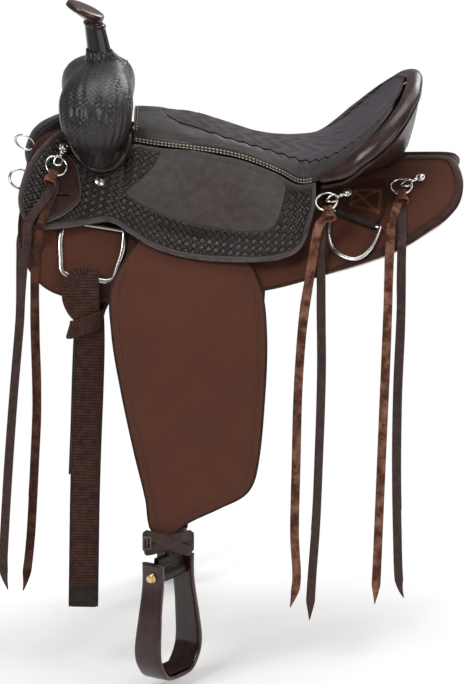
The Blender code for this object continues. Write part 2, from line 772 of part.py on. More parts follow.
def make_horn():
    """Steel horn, the leather wrapped round its neck and the leather cap over its plate."""
    plate = HORN_CAP_CENTRE
    under = HORN_NECK_TOP.lerp(plate, 0.55)
    core = [tilted_ring(horn_axis(0.0), HORN_NECK_RADIUS, 0.0),
            tilted_ring(horn_axis(0.5), HORN_NECK_RADIUS * 0.92, 0.0),
            tilted_ring(horn_axis(1.0), HORN_NECK_RADIUS * 0.84, HORN_TILT * 0.5),
            tilted_ring(under, HORN_CAP_RADIUS * 0.46, HORN_TILT * 0.85),
            tilted_ring(plate - Vector((0, 0, 0.0022)), HORN_CAP_RADIUS * 0.80, HORN_TILT),
            tilted_ring(plate, HORN_CAP_RADIUS * 0.80, HORN_TILT)]
    loft("horn_core", core, STEEL)
    shares = (0.33, 0.42, 0.70, 0.97)
    skin = HORN_NECK_RADIUS + TOUCH_GAP
    outer = [tilted_ring(horn_axis(k), skin + blend(HORN_WRAP, 0.0016, k), HORN_TILT * 0.4 * k) for k in shares]
    inner = [tilted_ring(horn_axis(k), skin, HORN_TILT * 0.4 * k) for k in shares]
    tube("horn_wrap", outer, inner, LEATHER_DARK)
    lip = Vector((math.sin(HORN_TILT), 0.0, math.cos(HORN_TILT)))
    neck = HORN_NECK_TOP + Vector((-0.0004, 0.0, 0.0012))
    low = HORN_NECK_RADIUS * 0.84 + 0.0035
    outer = [tilted_ring(neck, low, HORN_TILT * 0.6),
             tilted_ring(under - Vector((0, 0, 0.0030)), HORN_CAP_RADIUS * 0.72, HORN_TILT * 0.9),
             tilted_ring(plate - lip * 0.0045, HORN_CAP_RADIUS * 0.96, HORN_TILT),
             tilted_ring(plate - lip * 0.0010, HORN_CAP_RADIUS, HORN_TILT),
             tilted_ring(plate + lip * 0.0026, HORN_CAP_RADIUS * 0.97, HORN_TILT),
             tilted_ring(plate + lip * 0.0038, HORN_CAP_RADIUS * 0.80, HORN_TILT)]
    inner = [tilted_ring(neck, HORN_NECK_RADIUS * 0.84 + 0.0012, HORN_TILT * 0.6),
             tilted_ring(under - Vector((0, 0, 0.0012)), HORN_CAP_RADIUS * 0.66, HORN_TILT * 0.9),
             tilted_ring(plate - lip * 0.0028, HORN_CAP_RADIUS * 0.84, HORN_TILT),
             tilted_ring(plate + lip * 0.0005, HORN_CAP_RADIUS * 0.84, HORN_TILT)]
    tube("horn_cap", outer, inner, LEATHER_GLOSS, closed_end=True)


# Cantle

# From the front end of the roll round to the centre: inner and outer edge of the roll, and the
# (x, s) where the cantle's back meets the bar and strap
ROLL_INNER = [(0.166, 0.133, 0.0530), (0.1955, 0.1405, 0.0740), (0.217, 0.145, 0.0910),
              (0.238, 0.142, 0.1080), (0.260, 0.130, 0.1270), (0.280, 0.100, 0.1465),
              (0.292, 0.055, 0.1610), (0.298, 0.000, 0.1700)]
ROLL_OUTER = [(0.174, 0.141, 0.0460), (0.209, 0.160, 0.0590), (0.238, 0.163, 0.0820),
              (0.267, 0.154, 0.1040), (0.289, 0.134, 0.1280), (0.306, 0.100, 0.1500),
              (0.317, 0.055, 0.1640), (0.320, 0.000, 0.1690)]
CANTLE_FOOT = [(0.176, 0.066), (0.186, 0.062), (0.201, 0.055), (0.222, 0.051), (0.247, 0.047),
               (0.268, 0.038), (0.286, 0.024), (0.299, -0.0087)]
CANTLE_ENDS = len(ROLL_INNER) - 1
CANTLE_FOOT_HEIGHT = STRAP_TOP + 0.0015


def rim_point(line, t):
    """Point on one of the cantle's lines; t runs from minus to plus the number of steps."""
    x, y, z = along(line, CANTLE_ENDS - abs(t))
    return Vector((x, math.copysign(y, t), z))


def cantle_foot(t):
    """Where the cantle's back stands."""
    x, s = along(CANTLE_FOOT, CANTLE_ENDS - abs(t))
    point = on_back(x, s, CANTLE_FOOT_HEIGHT, NEAR if t < 0 else FAR)
    if t == 0:
        point.y = 0.0
    return point


def cantle_grid(low, high, rows, ends=CANTLE_ENDS):
    """Grid over the cantle's back from share low to share high of its height."""
    grid = []
    for t in range(-ends, ends + 1):
        outer = rim_point(ROLL_OUTER, t)
        inner = rim_point(ROLL_INNER, t)
        top = outer - (outer - inner).normalized() * 0.003 - Vector((0, 0, 0.0098))
        foot = cantle_foot(t)
        belly = (top + foot) / 2 + Vector((0.006, 0.0, 0.0))
        line = []
        for i in range(rows + 1):
            f = blend(low, high, i / rows)
            line.append(foot * (1 - f) ** 2 + belly * (2 * f * (1 - f)) + top * f ** 2)
        grid.append(line)
    return grid


def make_cantle():
    """Board of the cantle, the leather on its back and the rolled leather over its rim."""
    back = cantle_grid(0.0, 1.0, 5)
    slab("cantle_back", back, offset_grid(back, -CANTLE_LEATHER), LEATHER_DARK)
    board = cantle_grid(0.20, 0.70, 4, ends=CANTLE_ENDS - 1)
    gap = CANTLE_LEATHER + 0.0012
    slab("tree_cantle", offset_grid(board, -gap), offset_grid(board, -gap - CANTLE_BOARD), TREE)
    rings = []
    for t in range(-CANTLE_ENDS, CANTLE_ENDS + 1):
        inner = rim_point(ROLL_INNER, t)
        outer = rim_point(ROLL_OUTER, t)
        ahead = rim_point(ROLL_INNER, t + 0.1) - rim_point(ROLL_INNER, t - 0.1)
        wide = (outer - inner) / 2
        thick = ahead.cross(wide).normalized() * ROLL_THICKNESS
        taper = 0.55 + 0.45 * ease((CANTLE_ENDS - abs(t)) / 2.0)
        middle = (inner + outer) / 2
        rings.append([middle + wide * math.cos(a) + thick * (taper * math.sin(a))
                      for a in (2 * math.pi * i / 12 for i in range(12))])
    loft("cantle_roll", rings, LEATHER_GLOSS)


# Rigging

def half_oval(half, depth, power, count):
    """Straight bar with a rounded bow under it, as an outline."""
    points = [corner(-half, 0.0), corner(half, 0.0)]
    for i in range(1, count):
        angle = math.pi * i / count
        c = math.copysign(abs(math.cos(angle)) ** (2 / power), math.cos(angle))
        points.append((half * c, depth * math.sin(angle) ** (2 / power)))
    return points


def dee_frame(side, x, s, turn, depth):
    """Pivot on the dee's straight bar, the bar's direction and the way down the dee."""
    pivot = on_back(x, s, DEE_HEIGHT, side)
    lowest = on_back(x - math.sin(turn) * depth, s + math.cos(turn) * depth, DEE_HEIGHT + 0.001, side)
    bar_end = on_back(x + math.cos(turn) * 0.03, s + math.sin(turn) * 0.03, DEE_HEIGHT, side)
    reach = (lowest - pivot).normalized()
    bar = bar_end - pivot
    bar = (bar - reach * bar.dot(reach)).normalized()
    return pivot, bar, reach


def square_bow(half, depth, flat):
    """Straight bar with a squarer bow under it, flat at the bottom, as an outline."""
    right = [corner(half, 0.0), (half + 0.001, depth * 0.38), (half - 0.003, depth * 0.70),
             (blend(half, flat, 0.45), depth * 0.93), corner(flat, depth)]
    return right + [(-u, v, *kind) for u, v, *kind in reversed(right)]


def make_dee(name, side, x, s, turn, half, depth, flat=0.0, lean=0.0):
    """Flat steel dee hinged on its straight bar and lying on the skirt."""
    pivot, bar, reach = dee_frame(side, x, s, turn, depth)
    outline = square_bow(half, depth, flat) if flat else half_oval(half, depth, 2.4, 9)
    opening = [(p[0] * (half - DEE_BAND) / half, DEE_BAND + p[1] * (depth - 2 * DEE_BAND) / depth, *p[2:])
               for p in outline]
    outline, opening = ([(p[0] + lean * p[1], *p[1:]) for p in line] for line in (outline, opening))
    placed = plane_of(pivot - reach * (DEE_BAND / 2), bar, reach)
    made = sheet(name, outline, DEE_THICKNESS, placed, STEEL, holes=(opening,), grid=(0, 0), steps=2)
    return set_pivot(made, pivot)


def ring_object(name, centre, normal, radius, wire, pivot, finish=STEEL):
    """Round wire ring with its origin where it hangs."""
    turn = normal.to_track_quat("Z", "Y")
    bpy.ops.mesh.primitive_torus_add(major_radius=radius, minor_radius=wire, major_segments=16,
                                     minor_segments=5)
    made = bpy.context.object
    for holder in list(made.users_collection):
        holder.objects.unlink(made)
    PARTS.objects.link(made)
    made.name = name
    made.data.transform(Matrix.Translation(centre) @ turn.to_matrix().to_4x4())
    made.data.materials.append(material(finish))
    made.data.shade_smooth()
    return set_pivot(made, pivot)


def make_rigging(side, word):
    """Straps, dees and breast-collar ring."""
    strap = on_height(side, STRAP_TOP - STRAP / 2)
    rear = [(0.181, 0.072), (0.185, 0.092), corner(0.1943, 0.1018), corner(0.2543, 0.1418), (0.262, 0.122),
            (0.2695, 0.072), (0.261, 0.059), (0.225, 0.064)]
    sheet("rear_rigging_strap_" + word, rear, STRAP, strap, CORDURA)
    front = [corner(-0.196, 0.112), corner(-0.108, 0.112), corner(-0.108, 0.1548), corner(-0.196, 0.1455)]
    sheet("front_rigging_strap_" + word, front, STRAP, strap, CORDURA)
    make_dee("front_dee_" + word, side, FRONT_DEE_X, FRONT_DEE_S, FRONT_DEE_TURN, FRONT_DEE_HALF,
             FRONT_DEE_DEPTH, FRONT_DEE_FLAT)
    make_dee("rear_dee_" + word, side, REAR_DEE_X, REAR_DEE_S, REAR_DEE_TURN, REAR_DEE_HALF,
             REAR_DEE_DEPTH, lean=REAR_DEE_LEAN)
    x = -0.2585
    s = 0.143
    height = STRAP_TOP + 0.0004
    centre = on_back(x, s, height, side)
    ahead, _, out = back_axes(x, s, height, side)
    ring_object("breast_ring_" + word, centre, out, BREAST_RING_RADIUS, RING_WIRE,
                centre + ahead * BREAST_RING_RADIUS)
    tab = [corner(-0.2395, 0.131), corner(-0.2395, 0.156), corner(-0.209, 0.154), corner(-0.209, 0.133)]
    sheet("breast_tab_" + word, tab, STRAP, strap, LEATHER_DARK, steps=1)


# Fender, stirrup leather and stirrup

def hang(x, u, w, side):
    """Point on the fender's hanging surface: flat under the jockey, then bent towards the plumb."""
    slope = ridge_slope(FENDER_X) + FENDER_S / BACK_RADIUS
    start = on_back(FENDER_X, FENDER_S, FENDER_HEIGHT, side)
    y = abs(start.y)
    z = start.z
    flat = min(u, FENDER_FLAT)
    y += flat * math.cos(slope)
    z -= flat * math.sin(slope)
    if u > FENDER_FLAT:
        bend = min((u - FENDER_FLAT) / FENDER_BEND, FENDER_END_SLOPE - slope)
        y += FENDER_BEND * (math.sin(slope + bend) - math.sin(slope))
        z -= FENDER_BEND * (math.cos(slope) - math.cos(slope + bend))
        rest = u - FENDER_FLAT - FENDER_BEND * bend
        slope += bend
        y += rest * math.cos(slope)
        z -= rest * math.sin(slope)
    w += FENDER_LIFT * (FENDER_X - x) * (1.0 - ease(u / FENDER_TWIST_END))
    return Vector((x, side * (y + w * math.sin(slope)), z + w * math.cos(slope)))


def make_fender(side, word):
    """Cloth-covered fender over the stirrup leather, both swinging on the bar."""
    pivot = hang(FENDER_X, SWING_U, 0.0, side)
    outline = [
        corner(-0.085, -0.030), (-0.127, 0.050), (-0.127, 0.118), (-0.114, 0.199), (-0.096, 0.286),
        (-0.079, 0.358), (-0.073, 0.398), (-0.058, 0.416), (-0.040, 0.411), (-0.018, 0.393),
        (0.028, 0.371), (0.066, 0.350), (0.081, 0.318), (0.092, 0.215), (0.095, 0.120),
        (0.086, 0.045), corner(0.050, -0.030),
    ]

    def place(x, u, w):
        return hang(x, u, w, side)
    fender = sheet("fender_" + word, outline, FENDER, place, CORDURA, grid=(0, 0.045))
    set_pivot(fender, pivot)
    half = STIRRUP_LEATHER_WIDTH / 2
    strap = [corner(FENDER_X - half, SWING_U - 0.003), corner(FENDER_X + half, SWING_U - 0.003),
             corner(NECK_X + 0.028, 0.400), corner(NECK_X - 0.028, 0.400)]
    behind = FENDER / 2 + STIRRUP_LEATHER / 2 + 0.0018

    def place_behind(x, u, w):
        return hang(x, u, w - behind, side)
    leather = sheet("stirrup_leather_" + word, strap, STIRRUP_LEATHER, place_behind, LEATHER_DARK,
                    grid=(0, 0.045), steps=1)
    set_pivot(leather, pivot)


def rounded_box(half_u, half_v, radius):
    """Outline of a box with round corners."""
    points = []
    for su, sv, first in ((1, 1, 0), (-1, 1, 1), (-1, -1, 2), (1, -1, 3)):
        for k in range(3):
            angle = math.pi / 2 * (first + k / 2)
            points.append(corner(su * (half_u - radius) + radius * math.cos(angle),
                                 sv * (half_v - radius) + radius * math.sin(angle)))
    return points


def make_hobble(side, word):
    """Hobble strap buckled round the neck of the fender."""
    middle = hang(NECK_X, NECK_U - HOBBLE_HEIGHT / 2, -0.003, side)
    down = hang(NECK_X, NECK_U, 0, side) - hang(NECK_X, NECK_U - HOBBLE_HEIGHT, 0, side)
    across = Vector((1.0, 0.0, 0.0))
    depth = across.cross(down).normalized()
    outline = rounded_box(0.037, 0.011, 0.006)
    opening = rounded_box(0.037 - HOBBLE_WALL, 0.011 - HOBBLE_WALL, 0.004)
    made = sheet("hobble_strap_" + word, outline, HOBBLE_HEIGHT, plane_of(middle, across, depth),
                 LEATHER_DARK, holes=(opening,), grid=(0, 0), steps=1)
    set_pivot(made, hang(FENDER_X, SWING_U, 0.0, side))


def stirrup_outline():
    """Open-topped bell of the stirrup in its own plane, with the bolt's height as zero."""
    half = STIRRUP_HALF_WIDTH
    top = STIRRUP_TOP_HALF_WIDTH
    wall = STIRRUP_WALL
    drop = STIRRUP_DROP
    right = [corner(top - wall, -0.020), corner(top, -0.020), corner(top, 0.012),
             (blend(top, half, 0.62), 0.062), (half, 0.112), (half - 0.012, drop - 0.014),
             (half - 0.034, drop)]
    left = [(-u, v, *kind) for u, v, *kind in reversed(right)]
    inner = [(-(blend(top, half, 0.60) - wall), 0.062), (-(half - wall), 0.110),
             (-(half - wall - 0.011), drop - wall - 0.014), (-(half - 0.036), drop - wall - 0.001)]
    back = [(-u, v) for u, v in reversed(inner)]
    return right + left + inner + back


def make_stirrup(side, word, turn):
    """Leather loop, bolt and stirrup, which turn together below the hobble."""
    hanger = hang(NECK_X, NECK_U, -0.003, side)
    bolt = hanger - Vector((0.0, 0.0, STIRRUP_BOLT_DROP))
    axle = Vector((math.cos(turn), -side * math.sin(turn), 0.0))
    down = Vector((0.0, 0.0, -1.0))
    facing = axle.cross(down)
    body = sheet("stirrup_" + word, stirrup_outline(), STIRRUP_BAND, plane_of(bolt, axle, down),
                 STIRRUP_SHELL, grid=(0, 0), steps=4)
    hole = loft("bolt_hole_" + word, bolt_rings(bolt, axle, STIRRUP_BOLT_RADIUS + BOLT_FIT,
                                               STIRRUP_TOP_HALF_WIDTH + 0.01, 12), None, CUTTERS)
    cut(body, as_cutter(hole))
    set_pivot(body, bolt)
    wall = STIRRUP_LOOP_WALL
    round_inner = STIRRUP_BOLT_RADIUS + 0.004
    round_outer = round_inner + wall
    loop = [corner(-0.0045, -STIRRUP_BOLT_DROP + 0.002), corner(0.0045, -STIRRUP_BOLT_DROP + 0.002)]
    loop += [(round_outer * math.cos(a), round_outer * math.sin(a))
             for a in (math.pi * k / 8 for k in range(-1, 10))]
    eye = [(round_inner * math.cos(a), round_inner * math.sin(a))
           for a in (math.pi * k / 6 for k in range(12))]
    strap = sheet("stirrup_loop_" + word, loop, STIRRUP_LOOP_WIDTH, plane_of(bolt, facing, down),
                  LEATHER_DARK, holes=(eye,), grid=(0, 0), steps=2)
    stem = strap.modifiers.new("stem", "BOOLEAN")
    stem.operation = "UNION"
    stem.solver = "EXACT"
    stem.object = as_cutter(loft("loop_stem_" + word, bolt_rings(
        hanger + Vector((0.0, 0.0, STEM_TOP - 0.0125)), Vector((0.0, 0.0, 1.0)), STEM_RADIUS, 0.0125, 12),
        None, CUTTERS))
    set_pivot(strap, hanger)
    pin = bmesh.new()
    rows = add_rows(pin, bolt_profile(bolt, axle))
    row_faces(pin, rows, True)
    pin.faces.new(rows[0])
    pin.faces.new(rows[-1])
    pin = finish_object("stirrup_bolt_" + word, pin, BRASS)
    set_pivot(pin, hanger)


def bolt_rings(middle, axle, radius, half, count):
    """Two rings of a round bar along an axle."""
    side_way = axle.orthogonal().normalized()
    other = axle.cross(side_way)
    return [[middle + axle * end + (side_way * math.sin(a) + other * math.cos(a)) * radius
             for a in (2 * math.pi * i / count for i in range(count))] for end in (-half, half)]


def bolt_profile(middle, axle):
    """Rings of the bolt: a washer-faced head, the shank and a nut."""
    half = STIRRUP_TOP_HALF_WIDTH + 0.0004
    head = 0.0075
    steps = ((-half - 0.004, head * 0.8), (-half - 0.003, head), (-half, head), (-half, STIRRUP_BOLT_RADIUS),
             (half, STIRRUP_BOLT_RADIUS), (half, head), (half + 0.003, head), (half + 0.004, head * 0.8))
    rings = []
    for end, radius in steps:
        rings.append(bolt_rings(middle + axle * end, axle, radius, 0.0, 12)[0])
    return rings


# Webbing on the front dees

def dee_foot(side):
    """Middle of the front dee's lower bar."""
    pivot, _, reach = dee_frame(side, FRONT_DEE_X, FRONT_DEE_S, FRONT_DEE_TURN, FRONT_DEE_DEPTH)
    return pivot + reach * (FRONT_DEE_DEPTH - DEE_BAND)


def dee_bar(side):
    """Direction of the front dee's lower bar."""
    return dee_frame(side, FRONT_DEE_X, FRONT_DEE_S, FRONT_DEE_TURN, FRONT_DEE_DEPTH)[1]


def skirt_space(side, word):
    """Cutter that fills the skirt's place behind the knot."""
    outline = [corner(-0.21, 0.20), corner(-0.10, 0.20), corner(-0.10, 0.268), corner(-0.21, 0.2810)]

    def place(x, s, w):
        return on_back(x, s, blend(-0.03, SKIRT_TOP + 0.0012, w + 0.5), side)
    return as_cutter(sheet("skirt_space_" + word, outline, 1.0, place, None, grid=(GRID, GRID), steps=1,
                           into=CUTTERS))


def make_tie(side, word):
    """Tie strap knotted to the near dee, and the shorter off billet on the far dee."""
    foot = dee_foot(side)
    front = foot + Vector((0.0, side * 0.0115, 0.0))
    length = TIE_LENGTH if side == NEAR else BILLET_LENGTH
    name = "tie_strap_" if side == NEAR else "off_billet_"
    below = [(0.002, 0.000, -0.040), (0.003, 0.001, -0.070), (0.003, 0.004, -0.110),
             (0.001, 0.008, -0.170), (-0.002, 0.010, -0.240), (-0.005, 0.011, -0.330),
             (-0.008, 0.011, -length)]
    points = [front + Vector((x, side * y, z)) for x, y, z in below]
    if side == FAR:
        for point in points:
            point.x = spread_far(point.x, point.z)
    tail = ribbon(name + word, points, TIE_WIDTH, TIE_THICKNESS, WEBBING, side)
    join = tail.modifiers.new("knot", "BOOLEAN")
    join.operation = "UNION"
    join.solver = "EXACT"
    join.object = knot_block(side, foot, front)
    hole = loft("dee_bar_hole_" + word, bolt_rings(foot, dee_bar(side), DEE_BAR_HOLE, KNOT_WIDTH, 12),
                None, CUTTERS)
    cut(tail, as_cutter(hole))
    cut(tail, skirt_space(side, word))
    set_pivot(tail, foot)


def knot_block(side, foot, front):
    """Body of the knot: a rounded lump that starts on the dee's lower bar."""
    rings = []
    levels = ((0.0090, 0.60, 0.30, 0.001), (0.006, 0.70, 0.65, 0.001), (-0.008, 0.74, 1.0, 0.003),
              (-0.016, 1.0, 1.0, 0.007), (-0.050, 0.90, 0.9, 0.012), (-0.074, 0.96, 0.9, 0.011),
              (-0.084, 0.80, 0.5, 0.010))
    for drop, wide, thick, outward in levels:
        middle = Vector((foot.x + drop * 0.03, foot.y + side * outward, foot.z + drop))
        ring = []
        for i in range(12):
            angle = 2 * math.pi * (i + 0.5) / 12
            c = math.copysign(abs(math.cos(angle)) ** 0.6, math.cos(angle))
            d = math.copysign(abs(math.sin(angle)) ** 0.8, math.sin(angle))
            ring.append(middle + Vector((KNOT_WIDTH / 2 * wide * c, KNOT_HALF_DEPTH * thick * d, 0.0)))
        rings.append(ring)
    return as_cutter(loft("knot_" + ("left" if side == NEAR else "right"), rings, None, CUTTERS))


# Rings and strings

ON_SKIRT = SKIRT_TOP + LAID_GAP + STRING_THICKNESS / 2
ON_JOCKEY = JOCKEY_FRONT_HEIGHT + KEEPER_GAP + KEEPER + 4 * LAID_GAP + STRING_THICKNESS / 2
SECOND = STRING_THICKNESS + LAID_GAP
RING_LIFT = STRING_THICKNESS / 2 + LAID_GAP + RING_WIRE

# Name of the ring, its centre (x, s, height), then for each tail of its string the points (x, s,
# height) where it is laid and the points (x, half width, height above the origin) where it hangs
STRINGS = [
    ("front", (-0.206, 0.106, ON_JOCKEY + RING_LIFT),
     [(-0.212, 0.140, ON_JOCKEY + SECOND), (-0.222, 0.162, ON_JOCKEY + SECOND),
      (-0.238, 0.190, ON_JOCKEY + SECOND), (-0.245, 0.205, ON_JOCKEY), (-0.247, 0.222, ON_SKIRT + SECOND),
      (-0.250, 0.246, ON_SKIRT), (-0.253, 0.268, ON_SKIRT)],
     [(-0.256, 0.193, -0.112), (-0.258, 0.199, -0.150), (-0.267, 0.200, -0.250),
      (-0.275, 0.200, -0.353), (-0.282, 0.200, -0.457), (-0.284, 0.200, -0.510), (-0.278, 0.200, -0.541)],
     [(-0.209, 0.140, ON_JOCKEY), (-0.216, 0.162, ON_JOCKEY), (-0.225, 0.190, ON_JOCKEY),
      (-0.229, 0.207, ON_JOCKEY - 0.001), (-0.232, 0.224, ON_SKIRT + 0.001), (-0.235, 0.246, ON_SKIRT),
      (-0.236, 0.268, ON_SKIRT)],
     [(-0.236, 0.193, -0.112), (-0.236, 0.199, -0.150), (-0.234, 0.200, -0.264),
      (-0.238, 0.200, -0.353), (-0.244, 0.200, -0.457), (-0.251, 0.200, -0.520), (-0.256, 0.200, -0.543)]),
    ("middle", (0.180, 0.122, 0.070), [],
     [(0.171, 0.1690, -0.006), (0.165, 0.1740, -0.024), (0.160, 0.1800, -0.055), (0.154, 0.1850, -0.090),
      (0.148, 0.1870, -0.128), (0.143, 0.1880, -0.185), (0.139, 0.1880, -0.260), (0.137, 0.1880, -0.353),
      (0.135, 0.1880, -0.459), (0.138, 0.1880, -0.531), (0.129, 0.1880, -0.572)], [],
     [(0.174, 0.1610, -0.006), (0.1715, 0.1680, -0.024), (0.171, 0.1760, -0.055), (0.172, 0.1810, -0.090),
      (0.172, 0.1830, -0.128), (0.173, 0.1840, -0.206), (0.172, 0.1840, -0.270), (0.170, 0.1840, -0.334),
      (0.166, 0.1840, -0.442), (0.160, 0.1840, -0.532), (0.157, 0.1840, -0.592)]),
    ("rear", (0.288, 0.080, ON_SKIRT + RING_LIFT),
     [(0.284, 0.108, ON_SKIRT + SECOND), (0.279, 0.124, ON_SKIRT + SECOND), (0.273, 0.145, ON_SKIRT + 0.0005),
      (0.271, 0.172, ON_SKIRT + 0.0018), (0.270, 0.187, ON_SKIRT + 0.0026)],
     [(0.268, 0.182, -0.092), (0.267, 0.184, -0.137), (0.262, 0.184, -0.281), (0.257, 0.184, -0.425),
      (0.253, 0.184, -0.534), (0.251, 0.184, -0.568)],
     [(0.288, 0.108, ON_SKIRT), (0.288, 0.124, ON_SKIRT), (0.288, 0.145, ON_SKIRT), (0.288, 0.170, ON_SKIRT + 0.0018),
      (0.287, 0.184, ON_SKIRT + 0.0026)],
     [(0.286, 0.180, -0.092), (0.286, 0.182, -0.137), (0.282, 0.182, -0.244), (0.281, 0.182, -0.352),
      (0.283, 0.182, -0.461), (0.286, 0.182, -0.534), (0.293, 0.182, -0.559)]),
]


def x_on_tail(hanging, z):
    """X of a hanging tail at a height."""
    for (x_up, _, z_up), (x_low, _, z_low) in zip(hanging, hanging[1:]):
        if z >= z_low:
            return blend(x_up, x_low, min(max((z_up - z) / (z_up - z_low), 0.0), 1.0))
    return hanging[-1][0]


def spread_far(x, z):
    """X of a far hanging piece, which hangs a little further from the saddle's middle than the near one."""
    return FAR_MIDDLE + (x - FAR_MIDDLE) * (1.0 + (FAR_SPREAD - 1.0) * ease(-z / FAR_SPREAD_DEPTH))


def string_tail(side, laid, hanging):
    """Points of one tail, from the ring down; the far tails hang in line behind the near ones."""
    points = [on_back(x, s, height, side) for x, s, height in laid]
    for x, y, z in hanging:
        if side == FAR:
            x = spread_far(x_on_tail(hanging, z + FAR_LINE), z)
        points.append(Vector((x, side * y, z)))
    return points


def make_string(side, word, name, ring_at, laid_front, hang_front, laid_back, hang_back):
    """Ring on its clip and the leather string folded over the ring, its two tails hanging."""
    x, s, height = ring_at
    _, down, out = back_axes(x, s, height, side)
    centre = on_back(x, s, height, side)
    ring_object("ring_%s_%s" % (name, word), centre, out, RING_RADIUS, RING_WIRE, centre - down * RING_RADIUS)
    low = centre + down * RING_RADIUS
    clear = RING_WIRE + STRING_THICKNESS / 2 + LAID_GAP
    sag = STRING_WIDTH ** 2 / (6 * RING_RADIUS)
    fold = [low - down * (math.cos(a) * (clear + sag)) + out * (math.sin(a) * (clear + 0.0004))
            for a in (math.radians(d) for d in (115, 80, 40, 0, -40, -80, -115))]
    front = string_tail(side, laid_front, hang_front)
    back = string_tail(side, laid_back, hang_back)
    points = front[::-1] + fold + back
    made = ribbon("saddle_strings_%s_%s" % (name, word), points, STRING_WIDTH, STRING_THICKNESS,
                  LEATHER_STRING, side, tips=(0, len(points) - 1))
    set_pivot(made, centre - down * RING_RADIUS)


def build():
    """Every piece of the saddle."""
    for side, word in SIDES:
        make_skirts(side, word)
        make_bar(side, word)
        make_jockey(side, word)
        make_keeper(side, word)
        make_screw(side, word)
        make_rigging(side, word)
        make_fender(side, word)
        make_hobble(side, word)
        make_stirrup(side, word, TURN_NEAR if side == NEAR else TURN_FAR)
        make_tie(side, word)
        for entry in STRINGS:
            make_string(side, word, *entry)
    make_seat()
    make_fork()
    make_horn()
    make_cantle()


for old in list(bpy.data.objects):
    bpy.data.objects.remove(old)
PARTS = collection("trail_saddle")
CUTTERS = collection("cutters")
build()
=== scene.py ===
"""Looks of the trail saddle: smooth leather, cloth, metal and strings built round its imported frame."""

import json
import logging
import math
from dataclasses import dataclass, field, replace
from enum import Enum
from typing import Callable, Iterable, Optional, Sequence

import bpy
import numpy as np
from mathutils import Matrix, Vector

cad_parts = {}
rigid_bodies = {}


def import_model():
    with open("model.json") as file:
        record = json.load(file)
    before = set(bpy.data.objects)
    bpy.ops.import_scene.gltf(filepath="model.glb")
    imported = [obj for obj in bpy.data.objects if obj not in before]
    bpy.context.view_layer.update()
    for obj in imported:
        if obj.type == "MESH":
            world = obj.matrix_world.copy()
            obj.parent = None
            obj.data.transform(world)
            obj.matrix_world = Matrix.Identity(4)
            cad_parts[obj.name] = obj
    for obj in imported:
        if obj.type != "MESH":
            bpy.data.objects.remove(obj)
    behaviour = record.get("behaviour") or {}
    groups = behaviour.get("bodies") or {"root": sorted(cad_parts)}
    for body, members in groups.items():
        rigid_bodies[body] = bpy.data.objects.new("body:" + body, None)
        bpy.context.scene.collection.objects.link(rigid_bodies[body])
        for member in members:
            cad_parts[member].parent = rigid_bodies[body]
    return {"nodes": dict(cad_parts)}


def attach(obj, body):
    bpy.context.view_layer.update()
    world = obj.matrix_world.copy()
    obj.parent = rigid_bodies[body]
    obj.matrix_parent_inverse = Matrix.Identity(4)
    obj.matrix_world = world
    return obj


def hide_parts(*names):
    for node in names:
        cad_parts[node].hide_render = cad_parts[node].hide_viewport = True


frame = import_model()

LOG = logging.getLogger("trail_saddle")
Array = np.ndarray
Place = Callable[[Array, Array, Array], Array]
ALONG, UP = np.array([1.0, 0.0, 0.0]), np.array([0.0, 0.0, 1.0])
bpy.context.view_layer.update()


class Side(Enum):
    """Side of the saddle; the near side faces the camera."""

    NEAR = (-1.0, "left")
    FAR = (1.0, "right")

    @property
    def sign(self) -> float:
        """Sign of Y on this side."""
        return self.value[0]

    @property
    def word(self) -> str:
        """Last word of the names of this side's pieces."""
        return self.value[1]


# Curves and surfaces

def smooth(t: Array) -> Array:
    """Goes from 0 to 1 with level ends: 3 t squared minus 2 t cubed, held outside the span.

    Args:
        t: Shares.

    Returns:
        The eased shares.
    """
    t = np.clip(t, 0.0, 1.0)
    return t * t * (3.0 - 2.0 * t)


def through(points: Sequence[Sequence[float]], t: Array) -> Array:
    """Smooth curve through equally numbered points: a cubic in each step, with mean slopes at the points.

    Args:
        points: Points of any dimension.
        t: Places along the curve, in steps.

    Returns:
        One point for each place.
    """
    known = np.asarray(points, float)
    last = len(known) - 1
    t = np.clip(np.asarray(t, float), 0.0, last)
    i = np.minimum(t.astype(int), last - 1)
    f = (t - i)[..., None]
    p0, p1 = known[np.maximum(i - 1, 0)], known[i]
    p2, p3 = known[i + 1], known[np.minimum(i + 2, last)]
    return 0.5 * (2 * p1 + (p2 - p0) * f + (2 * p0 - 5 * p1 + 4 * p2 - p3) * f**2
                  + (3 * p1 - p0 - 3 * p2 + p3) * f**3)


def unit(vectors: Array) -> Array:
    """Vectors of length one."""
    return vectors / np.maximum(np.linalg.norm(vectors, axis=-1, keepdims=True), 1e-12)


def even(line: Array, count: int, closed: bool = False) -> Array:
    """The same line with its points equally far apart.

    Args:
        line: Points of the line.
        count: Number of points wanted.
        closed: True if the last point joins the first.

    Returns:
        The new points.
    """
    if closed:
        line = np.concatenate([line, line[:1]])
    gone = run_along(line)
    at = np.linspace(0.0, gone[-1], count, endpoint=not closed)
    return np.stack([np.interp(at, gone, line[:, k]) for k in range(line.shape[1])], axis=1)


def run_along(line: Array) -> Array:
    """Length gone along a line at each of its points."""
    return np.concatenate([[0.0], np.cumsum(np.linalg.norm(np.diff(line, axis=0), axis=1))])


def length_of(line: Array) -> float:
    """Whole length of a line."""
    return float(np.linalg.norm(np.diff(line, axis=0), axis=1).sum())


def line_through(points: Sequence[Sequence[float]], fine: int, count: int) -> Array:
    """Points equally far apart on the smooth curve through points, measured at a fine number of places."""
    return even(through(points, np.linspace(0.0, len(points) - 1, fine)), count)


def turns(count: int) -> Array:
    """Angles equally far apart, once round."""
    return np.linspace(0.0, 2 * math.pi, count, endpoint=False)


def signed_power(values: Array, power: float) -> Array:
    """Power of the size of each value, which keeps the value's sign."""
    return np.sign(values) * np.abs(values) ** power


